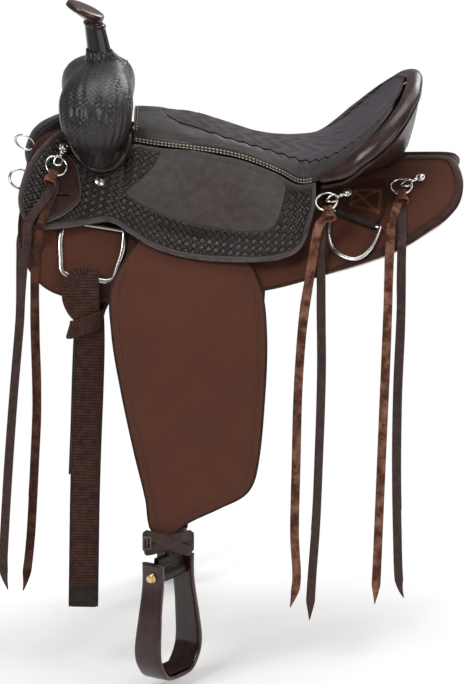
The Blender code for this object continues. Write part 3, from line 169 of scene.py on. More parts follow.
def outline_curve(points: Sequence[Sequence[float]], count: int) -> Array:
    """Closed outline through points: a cubic in each step whose slopes run towards the next points.

    The slopes are straight at a corner, which is a point with a third value.

    Args:
        points: (a, b) or (a, b, 1) for a corner.
        count: Number of points wanted.

    Returns:
        The outline, count by 2.
    """
    flat = np.array([p[:2] for p in points], float)
    corner = np.array([len(p) > 2 for p in points])[:, None]
    ahead, behind = np.roll(flat, -1, 0), np.roll(flat, 1, 0)
    step = ahead - flat
    long = np.linalg.norm(step, axis=1, keepdims=True)
    slope = unit(ahead - behind)
    leave = np.where(corner, step, slope * long)
    arrive = np.where(np.roll(corner, -1, 0), step, np.roll(slope, -1, 0) * long)
    f = np.linspace(0.0, 1.0, 24, endpoint=False)[None, :, None]
    line = ((2 * f**3 - 3 * f**2 + 1) * flat[:, None] + (f**3 - 2 * f**2 + f) * leave[:, None]
            + (3 * f**2 - 2 * f**3) * ahead[:, None] + (f**3 - f**2) * arrive[:, None])
    return even(line.reshape(-1, 2), count, closed=True)


def inward(line: Array, reach: int = 3) -> Array:
    """Unit directions from a closed outline towards its inside, averaged over some neighbours.

    Args:
        line: Closed outline, n by 2.
        reach: Neighbours on each side that are averaged.

    Returns:
        Directions, n by 2.
    """
    run = np.roll(line, -1, 0) - np.roll(line, 1, 0)
    area = np.sum(line[:, 0] * np.roll(line[:, 1], -1) - np.roll(line[:, 0], -1) * line[:, 1])
    normal = unit(np.stack([-run[:, 1], run[:, 0]], axis=1)) * np.sign(area)
    return unit(sum(np.roll(normal, k, 0) for k in range(-reach, reach + 1)))


def distance_to(line: Array, a: Array, b: Array) -> Array:
    """Distance of flat points from the nearest point of an outline.

    Args:
        line: Outline, n by 2.
        a: First coordinate of the points.
        b: Second coordinate of the points.

    Returns:
        Distances in the shape of a.
    """
    points = np.stack([a.ravel(), b.ravel()], axis=1)
    found = [np.sqrt(((part[:, None] - line[None]) ** 2).sum(-1).min(1))
             for part in np.array_split(points, max(1, len(points) // 2000))]
    return np.concatenate(found).reshape(a.shape)


def inside(line: Array, a: Array, b: Array) -> Array:
    """True for the flat points inside a closed outline: a ray along a crosses it an odd number of times."""
    x0, y0 = line[:, 0], line[:, 1]
    x1, y1 = np.roll(x0, -1), np.roll(y0, -1)
    pa, pb = a.ravel()[:, None], b.ravel()[:, None]
    spans = (y0 > pb) != (y1 > pb)
    at = x0 + (pb - y0) * (x1 - x0) / np.where(np.abs(y1 - y0) < 1e-12, 1e-12, y1 - y0)
    return ((spans & (pa < at)).sum(1) % 2 == 1).reshape(a.shape)


class Back:
    """The horse's back that all is laid on: circles across, whose slope beside the spine changes along it."""

    RADIUS = 0.450

    @staticmethod
    def ridge(x: Array) -> Array:
        """Height of the spine: a parabola up to the withers and an eased rise to the loin."""
        front = np.maximum(0.100 - x, 0.0) / 0.330
        return 0.022 + 0.095 * front**2 + 0.020 * smooth((x - 0.100) / 0.200)

    @staticmethod
    def slope(x: Array) -> Array:
        """Slope right beside the spine, which falls evenly from front to rear."""
        return math.radians(20.0) + math.radians(28.3) * (0.300 - x)

    @classmethod
    def at(cls, x: Array, s: Array, height: Array, side: Side) -> Array:
        """Points a height outwards from the back: an arc of length s on a circle widened by the height.

        Args:
            x: Places along the saddle.
            s: Distances down the hide from the spine.
            height: Heights outwards.
            side: Side of the saddle.

        Returns:
            Points in the frame.
        """
        x, s, height = np.broadcast_arrays(np.asarray(x, float), s, height)
        start = cls.slope(x)
        angle = start + s / cls.RADIUS
        reach = cls.RADIUS + height
        y = reach * np.sin(angle) - cls.RADIUS * np.sin(start)
        z = cls.ridge(x) + reach * np.cos(angle) - cls.RADIUS * np.cos(start)
        return np.stack([x, side.sign * y, z], axis=-1)

    @classmethod
    def unroll(cls, x: Array, y: Array, z: Array) -> tuple[Array, Array]:
        """Arc length and height of points: the inverse of at()."""
        start = cls.slope(x)
        across = np.abs(y) + cls.RADIUS * np.sin(start)
        up = z - cls.ridge(x) + cls.RADIUS * np.cos(start)
        return (np.arctan2(across, up) - start) * cls.RADIUS, np.hypot(across, up) - cls.RADIUS

    @classmethod
    def axes(cls, x: float, s: float, height: float, side: Side) -> tuple[Array, Array, Array]:
        """Unit vectors along the saddle, down the hide and outwards at a point."""
        d = 0.004
        ahead = unit(cls.at(x + d, s, height, side) - cls.at(x - d, s, height, side))
        down = cls.at(x, s + d, height, side) - cls.at(x, s - d, height, side)
        out = unit(np.cross(ahead, down) * -side.sign)
        return ahead, unit(down - ahead * (down @ ahead)), out


class Hang:
    """Surface of a fender: flat under the jockey, then an arc that bends it towards the plumb."""

    X, S, HEIGHT, LIFT = -0.030, 0.175, 0.0330, 0.065
    FLAT, BEND, TWIST_END = 0.050, 0.250, 0.260
    END = math.radians(84.0)
    NECK_X, NECK_U = -0.046, 0.436

    @classmethod
    def at(cls, x: Array, u: Array, w: Array, side: Side) -> Array:
        """Points on the hanging surface: straight, along an arc, then straight again, moved w outwards.

        Args:
            x: Places along the saddle.
            u: Distances down the fender.
            w: Heights outwards.
            side: Side of the saddle.

        Returns:
            Points in the frame.
        """
        x, u, w = np.broadcast_arrays(np.asarray(x, float), u, w)
        slope = float(Back.slope(cls.X)) + cls.S / Back.RADIUS
        start = Back.at(cls.X, cls.S, cls.HEIGHT, Side.FAR)
        flat = np.minimum(u, cls.FLAT)
        past = np.maximum(u - cls.FLAT, 0.0)
        bend = np.minimum(past / cls.BEND, cls.END - slope)
        tilt = slope + bend
        rest = past - cls.BEND * bend
        y = (start[1] + flat * math.cos(slope) + cls.BEND * (np.sin(tilt) - math.sin(slope))
             + rest * np.cos(tilt))
        z = (start[2] - flat * math.sin(slope) - cls.BEND * (math.cos(slope) - np.cos(tilt))
             - rest * np.sin(tilt))
        w = w + cls.LIFT * (cls.X - x) * (1.0 - smooth(u / cls.TWIST_END))
        return np.stack([x, side.sign * (y + w * np.sin(tilt)), z + w * np.cos(tilt)], axis=-1)


# Meshes

@dataclass
class Surface:
    """A grid of points whose rows run round and close, with its map and masks, ready to become a mesh."""

    points: Array
    loop: bool = False
    flat: Optional[Array] = None
    masks: dict[str, Array] = field(default_factory=dict)

    def mesh(self, name: str) -> bpy.types.Mesh:
        """Mesh of the grid's quads, with equal points made one and its faces pointing outwards.

        Args:
            name: Name of the mesh.

        Returns:
            The mesh, with the UV map flat and one attribute for each mask.
        """
        rows, cols = self.points.shape[:2]
        i, j = np.meshgrid(np.arange(rows - (not self.loop)), np.arange(cols), indexing="ij")
        i, j = i.ravel(), j.ravel()
        corner_i = np.stack([i, i, i + 1, i + 1], axis=1)
        corner_j = np.stack([j, j + 1, j + 1, j], axis=1)
        grid = (corner_i % rows) * cols + corner_j % cols
        places = self.points.reshape(-1, 3)
        _, first, same = np.unique(np.round(places * 2e5).astype(np.int64), axis=0, return_index=True,
                                   return_inverse=True)
        quads = same.reshape(-1)[grid]
        points = places[first]
        a, b, c, d = (points[quads[:, k]] for k in range(4))
        volume = (np.cross(a, b) * c).sum() + (np.cross(a, c) * d).sum()
        if volume < 0:
            quads, corner_i, corner_j = quads[:, ::-1], corner_i[:, ::-1], corner_j[:, ::-1]
        keep = quads != np.roll(quads, -1, axis=1)
        whole = keep.sum(1) >= 3
        keep &= whole[:, None]
        totals = keep.sum(1)[whole]
        mesh = bpy.data.meshes.new(name)
        mesh.vertices.add(len(points))
        mesh.vertices.foreach_set("co", points.astype(np.float32).ravel())
        mesh.loops.add(int(keep.sum()))
        mesh.loops.foreach_set("vertex_index", quads[keep].astype(np.int32))
        mesh.polygons.add(len(totals))
        starts = np.concatenate([[0], np.cumsum(totals)[:-1]])
        mesh.polygons.foreach_set("loop_start", starts.astype(np.int32))
        mesh.update(calc_edges=True)
        if self.flat is not None:
            at = self.flat[corner_i, corner_j]
            mesh.uv_layers.new(name="flat").data.foreach_set("uv", at[keep].astype(np.float32).ravel())
        for key, values in self.masks.items():
            attribute = mesh.attributes.new(key, "FLOAT", "POINT")
            attribute.data.foreach_set("value", values.reshape(-1)[first].astype(np.float32))
        mesh.validate()
        mesh.shade_smooth()
        return mesh


def capped(rings: Array) -> Array:
    """Rings with one more at each end that is drawn together to a point, which closes the ends."""
    ends = [np.repeat(ring.mean(0, keepdims=True), len(ring), 0)[None] for ring in (rings[0], rings[-1])]
    return np.concatenate([ends[0], rings, ends[1]])


def tube(rings: Array, flat: Optional[Array] = None, **masks: Array) -> Surface:
    """Closed shell of rings, whose map and masks are carried on to its drawn-together ends.

    Args:
        rings: Points, n by m by 3.
        flat: Map in metres, n by m + 1 by 2.
        masks: Values at the points, n by m.

    Returns:
        The surface.
    """
    def longer(grid: Array) -> Array:
        """The grid with its first and last rows twice."""
        return np.concatenate([grid[:1], grid, grid[-1:]])
    return Surface(capped(rings), flat=None if flat is None else longer(flat),
                   masks={key: longer(values) for key, values in masks.items()})


def frames(path: Array, across: Array, closed: bool = False) -> tuple[Array, Array]:
    """Unit directions across and out of a path, square to it.

    Args:
        path: Points of the path, n by 3.
        across: Wanted direction across, 3 or n by 3.
        closed: True if the path is a loop.

    Returns:
        Directions across and out, n by 3 each.
    """
    if closed:
        run = unit(np.roll(path, -1, 0) - np.roll(path, 1, 0))
    else:
        run = unit(np.gradient(path, axis=0))
    across = np.broadcast_to(across, path.shape)
    across = unit(across - run * (run * across).sum(1, keepdims=True))
    return across, np.cross(run, across)


def sweep(path: Array, across: Array, profile: Array, closed: bool = False,
          size: Array | float = 1.0) -> Surface:
    """Closed profile carried along a path: each point is the path's, plus u times across, plus v times out.

    Args:
        path: Points of the path, n by 3.
        across: Direction of the profile's u.
        profile: Points (u, v) of the profile, m by 2.
        closed: True if the path is a loop.
        size: Scale of the profile at each point of the path.

    Returns:
        The surface, closed at both ends; its map holds u and the way along, in metres.
    """
    wide, out = frames(path, across, closed)
    shape = profile * np.reshape(np.broadcast_to(size, len(path)), (-1, 1, 1))
    rings = path[:, None] + wide[:, None] * shape[..., :1] + out[:, None] * shape[..., 1:]
    gone = run_along(path)
    flat = np.stack(np.broadcast_arrays(shape[..., 0], gone[:, None]), axis=-1)
    flat = np.concatenate([flat, flat[:, :1]], axis=1)
    if not closed:
        return tube(rings, flat)
    flat = np.concatenate([flat, flat[:1]])
    flat[-1, :, 1] = gone[-1] + np.linalg.norm(path[0] - path[-1])
    return Surface(rings, True, flat)


def round_profile(radius: float, count: int = 16) -> Array:
    """Circle: cosine and sine of even angles."""
    a = turns(count)
    return np.stack([radius * np.cos(a), radius * np.sin(a)], axis=1)


def band_profile(width: float, thick: float, power: float = 5.0, count: int = 28) -> Array:
    """Flat band with rounded edges: a superellipse of that width and thickness."""
    a = turns(count) + math.pi / count
    face_power = 2.6
    return np.stack([width / 2 * signed_power(np.cos(a), 2.0 / power),
                     thick / 2 * signed_power(np.sin(a), 2.0 / face_power)], axis=1)


@dataclass
class Panel:
    """Piece of leather or cloth cut to an outline and laid on a surface, with a rounded edge."""

    outline: Sequence[Sequence[float]]
    place: Place
    thick: float
    spine: tuple[tuple[float, float], tuple[float, float]]
    count: int = 400
    rings: int = 16
    border: float = 0.009
    relief: Optional[Callable[[Array, Array, Array], Array]] = None
    masks: dict[str, Sequence[Sequence[float]]] = field(default_factory=dict)
    spine_step: float = 0.006
    exact_depth: float = 0.006

    def surface(self) -> Surface:
        """Closed shell of the panel: rings from the outline over the rounded edge, to the underside.

        A ring is the outline moved inwards; past the border the rings shrink evenly onto the spine.

        Returns:
            The surface, with the cut's own metres as its map, and the mask edge.
        """
        line = outline_curve(self.outline, self.count)
        normal = inward(line)
        start, end = (np.array(p, float) for p in self.spine)
        along = np.clip(((line - start) @ (end - start)) / ((end - start) @ (end - start)), 0.0, 1.0)
        stops = max(6, int(np.linalg.norm(end - start) / self.spine_step))
        spine = start + (end - start) * (np.round(along * stops) / stops)[:, None]
        half = self.thick / 2
        turn = np.radians([90, 65, 40, 15, -15, -40, -65, -90])
        edge = [(half - half * math.cos(a), -half + half * math.sin(a), 0.0) for a in turn]
        steps = [(self.border * k / 6, 0.0, 0.0) for k in (6, 5, 4, 3, 2)]
        inner = [(self.border, 0.0, f) for f in np.linspace(1.0, 0.0, self.rings + 1)[:-1]]
        under = [(self.border, -self.thick, f) for f in (0.0, 0.25, 0.5, 0.75, 1.0)]
        rows = np.array([*inner, *steps, *edge, *under])
        ring = line[None] + normal[None] * rows[:, 0, None, None]
        flat = ring + (spine[None] - ring) * rows[:, 2, None, None]
        a, b = flat[..., 0], flat[..., 1]
        away = distance_to(line, a, b)
        exact = (rows[:, 2] == 0.0)[:, None] & (rows[:, 0] < self.exact_depth)[:, None]
        away = np.where(exact, rows[:, 0, None], away)
        height = np.broadcast_to(rows[:, 1, None], a.shape)
        if self.relief is not None:
            height = height + np.where(rows[:, 1, None] > -1e-9, self.relief(a, b, away), 0.0)
        masks = {"edge": away}
        for key, shape in self.masks.items():
            area = outline_curve(shape, 300)
            masks[key] = np.where(inside(area, a, b), 1.0, -1.0) * distance_to(area, a, b)
        flat = np.concatenate([flat, flat[:, :1]], axis=1)
        return Surface(self.place(a, b, height), flat=flat, masks=masks)

    def line_at(self, inset: float, lift: float = 0.0, count: Optional[int] = None) -> Array:
        """Points on the top face at a distance in from the edge."""
        line = outline_curve(self.outline, count or self.count)
        flat = line + inward(line) * inset
        return self.place(flat[:, 0], flat[:, 1], np.full(len(flat), lift))

    def binding(self, width: Callable[[Array], Array], proud: float = 0.0008) -> Surface:
        """Strip folded over the edge: a flat loop that reaches in by a width on both faces.

        Args:
            width: Width of the strip for each place a along the cut.
            proud: Thickness of the strip.

        Returns:
            The surface.
        """
        line = outline_curve(self.outline, self.count)
        t = self.thick
        fold = np.array([(1.0, -0.0004), (0.985, proud * 0.8), (0.93, proud), (0.6, proud * 1.1),
                         (0.3, proud), (0.12, proud * 0.6), (0.0, -t * 0.15), (-0.02, -t * 0.5),
                         (0.0, -t * 0.85), (0.12, -t - proud * 0.4), (0.5, -t - proud * 0.7),
                         (0.95, -t - proud * 0.5), (1.0, -t + 0.0004)])
        inset = width(line[:, 0]) * fold[:, :1]
        flat = line + inward(line, 5) * inset[..., None]
        height = np.broadcast_to(fold[:, 1:], inset.shape)
        points = self.place(flat[..., 0], flat[..., 1], height)
        way_in = np.pad(inset, ((0, 1), (0, 1)), mode="wrap")
        way_round = run_along(np.concatenate([line, line[:1]]))
        way = np.stack(np.broadcast_arrays(way_round, way_in), axis=-1)
        return Surface(points, True, way, {"edge": inset})


def stitch_row(path: Array, out: Array, length: float = 0.0034, gap: float = 0.0016,
               radius: float = 0.00045) -> Array:
    """Thread showing along a path: short rounded beads, each an ellipse drawn along the path.

    Args:
        path: Points that the row follows.
        out: Directions out of the leather, one or for each point.
        length: Length of one stitch.
        gap: Gap between stitches.
        radius: Half the thread's thickness.

    Returns:
        Rings of all the beads, n by 5 by 6 by 3.
    """
    long = length_of(path)
    count = max(2, int(long / (length + gap)))
    both = np.concatenate([path, np.broadcast_to(out, path.shape)], axis=1)
    gone = run_along(path)
    at = (np.arange(count) + 0.5) * long / count
    spot = np.stack([np.interp(at, gone, both[:, k]) for k in range(6)], axis=1)
    ahead = np.stack([np.interp(at + 0.001, gone, path[:, k]) - np.interp(at - 0.001, gone, path[:, k])
                      for k in range(3)], axis=1)
    ahead, up = unit(ahead), unit(spot[:, 3:])
    side = np.cross(ahead, up)
    lift = np.array([0.0, 0.8, 1.0, 0.8, 0.0])
    push = np.array([-1.0, -0.8, 0.0, 0.8, 1.0]) * length / 2
    turn = turns(6)
    ring = (side[:, None, None] * (np.cos(turn) * radius * 1.3)[None, None, :, None]
            + up[:, None, None] * (np.sin(turn) * radius)[None, None, :, None])
    return (spot[:, None, None, :3] + ahead[:, None, None] * push[None, :, None, None]
            + ring * lift[None, :, None, None])


def stitches(rows: Sequence[Array]) -> bpy.types.Mesh:
    """One mesh of many rows of stitches.

    Args:
        rows: What stitch_row gave for each row.

    Returns:
        The mesh, with the ends of every bead closed.
    """
    beads = np.concatenate(rows)
    count = len(beads)
    ring = beads[:, 1:4].reshape(count, 18, 3)
    tips = beads[:, [0, 4], 0]
    points = np.concatenate([ring, tips], axis=1)
    k = np.arange(6)
    n = (k + 1) % 6
    wall = np.stack([k, n, n + 6, k + 6], axis=1)
    walls = np.concatenate([wall, wall + 6])
    caps = np.concatenate([np.stack([n, k, np.full(6, 18)], axis=1),
                           np.stack([k + 12, n + 12, np.full(6, 19)], axis=1)])
    start = (np.arange(count) * 20)[:, None, None]
    faces = [*map(tuple, (walls[None] + start).reshape(-1, 4).tolist()),
             *map(tuple, (caps[None] + start).reshape(-1, 3).tolist())]
    mesh = bpy.data.meshes.new("stitches")
    mesh.from_pydata(points.reshape(-1, 3).tolist(), [], faces)
    mesh.update()
    mesh.shade_smooth()
    return mesh


# Materials

Socket = bpy.types.NodeSocket


class Tree:
    """Short way to fill a node tree."""

    def __init__(self, tree: bpy.types.NodeTree) -> None:
        """Keeps the tree."""
        self.tree = tree

    def feed(self, socket: Socket, value: object) -> None:
        """Links a socket into this one, or sets its value."""
        if isinstance(value, Socket):
            self.tree.links.new(value, socket)
        elif value is not None:
            socket.default_value = value

    def node(self, kind: str, feeds: dict[int | str, object], **settings: object) -> bpy.types.Node:
        """New node with its settings and inputs.

        Args:
            kind: Type of the node.
            feeds: Value or output socket for each input.
            settings: Properties of the node.

        Returns:
            The node.
        """
        made = self.tree.nodes.new(kind)
        for key, value in settings.items():
            setattr(made, key, value)
        for key, value in feeds.items():
            self.feed(made.inputs[key], value)
        return made

    def maths(self, operation: str, *values: object, clamp: bool = False) -> Socket:
        """Output of a math node."""
        return self.node("ShaderNodeMath", dict(enumerate(values)), operation=operation,
                         use_clamp=clamp).outputs[0]

    def vector(self, operation: str, *values: object) -> Socket:
        """Vector output of a vector math node."""
        return self.node("ShaderNodeVectorMath", dict(enumerate(values)), operation=operation).outputs[0]

    def noise(self, where: object, scale: float, detail: float = 3.0, rough: float = 0.55,
              warp: float = 0.0) -> Socket:
        """Value of a noise texture."""
        return self.node("ShaderNodeTexNoise", {"Vector": where, "Scale": scale, "Detail": detail,
                                                "Roughness": rough, "Distortion": warp}).outputs[0]

    def cells(self, where: object, scale: float, feature: str = "F1",
              metric: str = "EUCLIDEAN") -> Socket:
        """Distance of a Voronoi texture."""
        return self.node("ShaderNodeTexVoronoi", {"Vector": where, "Scale": scale}, feature=feature,
                         distance=metric).outputs["Distance"]

    def spread(self, value: object, low: float, high: float, a: float = 0.0,
               b: float = 1.0) -> Socket:
        """Value moved from one span to another with eased ends."""
        feeds = {0: value, 1: low, 2: high, 3: a, 4: b}
        return self.node("ShaderNodeMapRange", feeds, interpolation_type="SMOOTHSTEP").outputs[0]

    def mix(self, share: object, first: object, second: object) -> Socket:
        """Colour between two, by share."""
        made = self.node("ShaderNodeMix", {}, data_type="RGBA")
        for socket, value in ((made.inputs[0], share), (made.inputs[6], first), (made.inputs[7], second)):
            self.feed(socket, value)
        return made.outputs[2]

    def split(self, where: object) -> tuple[Socket, Socket, Socket]:
        """The three values of a vector."""
        made = self.node("ShaderNodeSeparateXYZ", {0: where})
        return made.outputs[0], made.outputs[1], made.outputs[2]


def group_of(name: str, inputs: Sequence[tuple[str, str]], outputs: Sequence[str],
             fill: Callable[[Tree, Sequence[Socket]], dict[str, Socket]]) -> bpy.types.NodeTree:
    """Shader group, made once.

    Args:
        name: Name of the group.
        inputs: Label and kind of each input.
        outputs: Labels of the outputs, which are all plain values.
        fill: Makes the nodes from the inputs, and returns the socket for each output.

    Returns:
        The group.
    """
    if name in bpy.data.node_groups:
        return bpy.data.node_groups[name]
    made = bpy.data.node_groups.new(name, "ShaderNodeTree")
    for label, kind in inputs:
        made.interface.new_socket(label, in_out="INPUT", socket_type="NodeSocket" + kind)
    for label in outputs:
        made.interface.new_socket(label, in_out="OUTPUT", socket_type="NodeSocketFloat")
    source, sink = made.nodes.new("NodeGroupInput"), made.nodes.new("NodeGroupOutput")
    tree = Tree(made)
    for label, socket in fill(tree, source.outputs).items():
        tree.feed(sink.inputs[label], socket)
    return made


def relief_group(name: str, fill: Callable[[Tree, Socket, Socket], dict[str, Socket]]) -> bpy.types.NodeTree:
    """Group that turns a place and a pitch into a height and a tone.

    Args:
        name: Name of the group.
        fill: Makes the nodes from the place in steps of the pitch and the place itself.

    Returns:
        The group.
    """
    def stepped(tree: Tree, given: Sequence[Socket]) -> dict[str, Socket]:
        """Divides the place by the pitch before it fills the group."""
        steps = tree.node("ShaderNodeVectorMath", {0: given[0]}, operation="SCALE")
        tree.feed(steps.inputs[3], tree.maths("DIVIDE", 1.0, given[1]))
        return fill(tree, steps.outputs[0], given[0])
    return group_of(name, (("Place", "Vector"), ("Pitch", "Float")), ("Height", "Tone"), stepped)


def fill_grain(tree: Tree, steps: Socket, place: Socket) -> dict[str, Socket]:
    """Leather grain: pebbles between fine creases, with soft unevenness."""
    crease = tree.cells(steps, 1.0, "DISTANCE_TO_EDGE")
    pebble = tree.spread(crease, 0.0, 0.28)
    fine = tree.noise(steps, 2.6, 4.0, 0.6)
    height = tree.maths("MULTIPLY_ADD", fine, 0.5, tree.maths("MULTIPLY", pebble, 0.7))
    return {"Height": height, "Tone": tree.spread(tree.noise(steps, 0.18, 3.0, 0.6), 0.3, 0.7)}


def fill_basket(tree: Tree, steps: Socket, place: Socket) -> dict[str, Socket]:
    """Basket stamp: square cells in turn filled by bars along and across, each of two rounded strands; its
    tone is painted highlight on the tops and painted shade in the grooves.
    """
    turned = tree.node("ShaderNodeVectorRotate", {0: steps, "Angle": math.radians(38.0)},
                       rotation_type="Z_AXIS").outputs[0]
    u, v, _ = tree.split(turned)
    parity = tree.maths("PINGPONG", tree.maths("ADD", tree.maths("FLOOR", u), tree.maths("FLOOR", v)), 1.0)
    bars = []
    for along, across in ((u, v), (v, u)):
        end = tree.maths("ABSOLUTE", tree.maths("MULTIPLY_ADD", tree.maths("FRACT", along), 2.0, -1.0))
        wall = tree.maths("ABSOLUTE", tree.maths("MULTIPLY_ADD", tree.maths("FRACT", across), 2.0, -1.0))
        strand = tree.maths("ABSOLUTE", tree.maths("SINE", tree.maths("MULTIPLY", across, 2 * math.pi)))
        body = tree.maths("MULTIPLY", tree.spread(end, 1.0, 0.55), tree.spread(wall, 1.0, 0.80))
        bars.append(tree.maths("MULTIPLY", body, tree.maths("MULTIPLY_ADD", strand, 0.45, 0.55)))
    height = tree.node("ShaderNodeMix", {0: parity, 2: bars[0], 3: bars[1]}, data_type="FLOAT").outputs[0]
    # Tone is painted light: the raised tops are lightened as a painted highlight and the grooves stay dark as
    # painted shade; this noise breaks that painted highlight into patches.
    wear_and_highlight_patches = tree.noise(place, 38.0, 4.0, 0.6)
    tone = tree.maths("MULTIPLY", tree.spread(height, 0.45, 1.0), tree.spread(wear_and_highlight_patches, 0.30, 0.62, 0.35, 1.0))
    return {"Height": height, "Tone": tone}


def fill_weave(tree: Tree, steps: Socket, place: Socket) -> dict[str, Socket]:
    """Plain weave: threads that pass over and under each other, the higher of two crossed waves."""
    u, v, _ = tree.split(steps)
    waves = []
    for first, second, shift in ((u, v, 0.0), (v, u, math.pi / 2)):
        over = tree.maths("ABSOLUTE", tree.maths("SINE", tree.maths("MULTIPLY", first, math.pi)))
        turn = tree.maths("COSINE", tree.maths("MULTIPLY_ADD", second, math.pi, shift))
        waves.append(tree.maths("MULTIPLY", over, tree.maths("ABSOLUTE", turn)))
    height = tree.maths("MAXIMUM", waves[0], waves[1])
    slub = tree.noise(place, 420.0, 2.0, 0.7)
    # Tone is partly random slub and partly painted light: the thread crossings are painted lighter and the
    # dips between threads darker, as painted shade.
    tone = tree.maths("MULTIPLY_ADD", tree.spread(slub, 0.25, 0.75), 0.45,
                      tree.maths("MULTIPLY", height, 0.5))
    return {"Height": height, "Tone": tone}


def fill_ribs(tree: Tree, steps: Socket, place: Socket) -> dict[str, Socket]:
    """Webbing: ribs across the strap, crossed by fine warp threads."""
    u, v, _ = tree.split(steps)
    rib = tree.maths("ABSOLUTE", tree.maths("SINE", tree.maths("MULTIPLY", v, math.pi)))
    warp = tree.maths("ABSOLUTE", tree.maths("SINE", tree.maths("MULTIPLY", u, math.pi * 2.2)))
    height = tree.maths("MULTIPLY_ADD", warp, 0.3, tree.maths("MULTIPLY", rib, 0.7))
    # Tone is painted light: the rib tops are painted lighter and the grooves darker as painted shade, and
    # this noise breaks the painted highlight into patches.
    patchy_rib_highlight = tree.noise(place, 90.0, 3.0, 0.6)
    return {"Height": height, "Tone": tree.maths("MULTIPLY", tree.spread(height, 0.2, 0.95),
                                                 tree.spread(patchy_rib_highlight, 0.2, 0.7))}


def fill_suede(tree: Tree, steps: Socket, place: Socket) -> dict[str, Socket]:
    """Suede: fine nap with brushed lighter patches."""
    nap = tree.noise(steps, 1.0, 6.0, 0.75)
    brushed = tree.noise(place, 12.0, 3.0, 0.5, 0.3)
    tone = tree.maths("MULTIPLY_ADD", tree.spread(brushed, 0.20, 0.80), 0.40,
                      tree.maths("MULTIPLY", tree.spread(nap, 0.2, 0.8), 0.5))
    return {"Height": nap, "Tone": tone}


def fill_brushed(tree: Tree, steps: Socket, place: Socket) -> dict[str, Socket]:
    """Polished metal: faint scratches in all directions and dull smears."""
    scratch = tree.noise(tree.vector("MULTIPLY", steps, (1.0, 9.0, 1.0)), 1.0, 4.0, 0.7)
    smear = tree.noise(place, 60.0, 3.0, 0.6)
    return {"Height": scratch, "Tone": tree.spread(smear, 0.35, 0.72)}


def fill_pile(tree: Tree, steps: Socket, place: Socket) -> dict[str, Socket]:
    """Woollen pile: curled locks, crowded rounds with fine strands over them."""
    lock = tree.cells(tree.vector("ADD", steps, (0.3, 0.1, 0.7)), 1.0, "SMOOTH_F1")
    strand = tree.noise(steps, 3.2, 5.0, 0.75, 1.2)
    height = tree.maths("MULTIPLY_ADD", strand, 0.6, tree.maths("SUBTRACT", 1.0, lock))
    # Tone is painted light: the tops of the locks are painted lighter and the hollows between them darker, as
    # painted shade.
    return {"Height": height, "Tone": tree.spread(height, 0.55, 1.15)}


def fill_fibres(tree: Tree, steps: Socket, place: Socket) -> dict[str, Socket]:
    """Resin over glass cloth or wood: long faint streaks."""
    streak = tree.noise(tree.vector("MULTIPLY", steps, (1.0, 1.0, 0.12)), 1.0, 5.0, 0.65, 0.5)
    return {"Height": streak, "Tone": tree.spread(streak, 0.32, 0.68)}


class Pattern(Enum):
    """Small relief of a finish."""

    GRAIN = ("leather_grain", fill_grain)
    BASKET = ("basket_stamp", fill_basket)
    WEAVE = ("cloth_weave", fill_weave)
    RIBS = ("webbing_ribs", fill_ribs)
    SUEDE = ("suede_nap", fill_suede)
    BRUSHED = ("metal_polish", fill_brushed)
    PILE = ("wool_pile", fill_pile)
    FIBRES = ("long_fibres", fill_fibres)


def fill_wear(tree: Tree, given: Sequence[Socket]) -> dict[str, Socket]:
    """Broken mask of wear along an edge, from the distance to it."""
    near = tree.maths("SUBTRACT", 1.0, tree.maths("DIVIDE", given[1], given[2]), clamp=True)
    patch = tree.spread(tree.noise(given[0], 55.0, 4.0, 0.7), 0.32, 0.62)
    return {"Mask": tree.maths("MULTIPLY", near, patch)}


WEAR_INPUTS = (("Place", "Vector"), ("Edge", "Float"), ("Width", "Float"))


Colour = tuple[float, float, float]


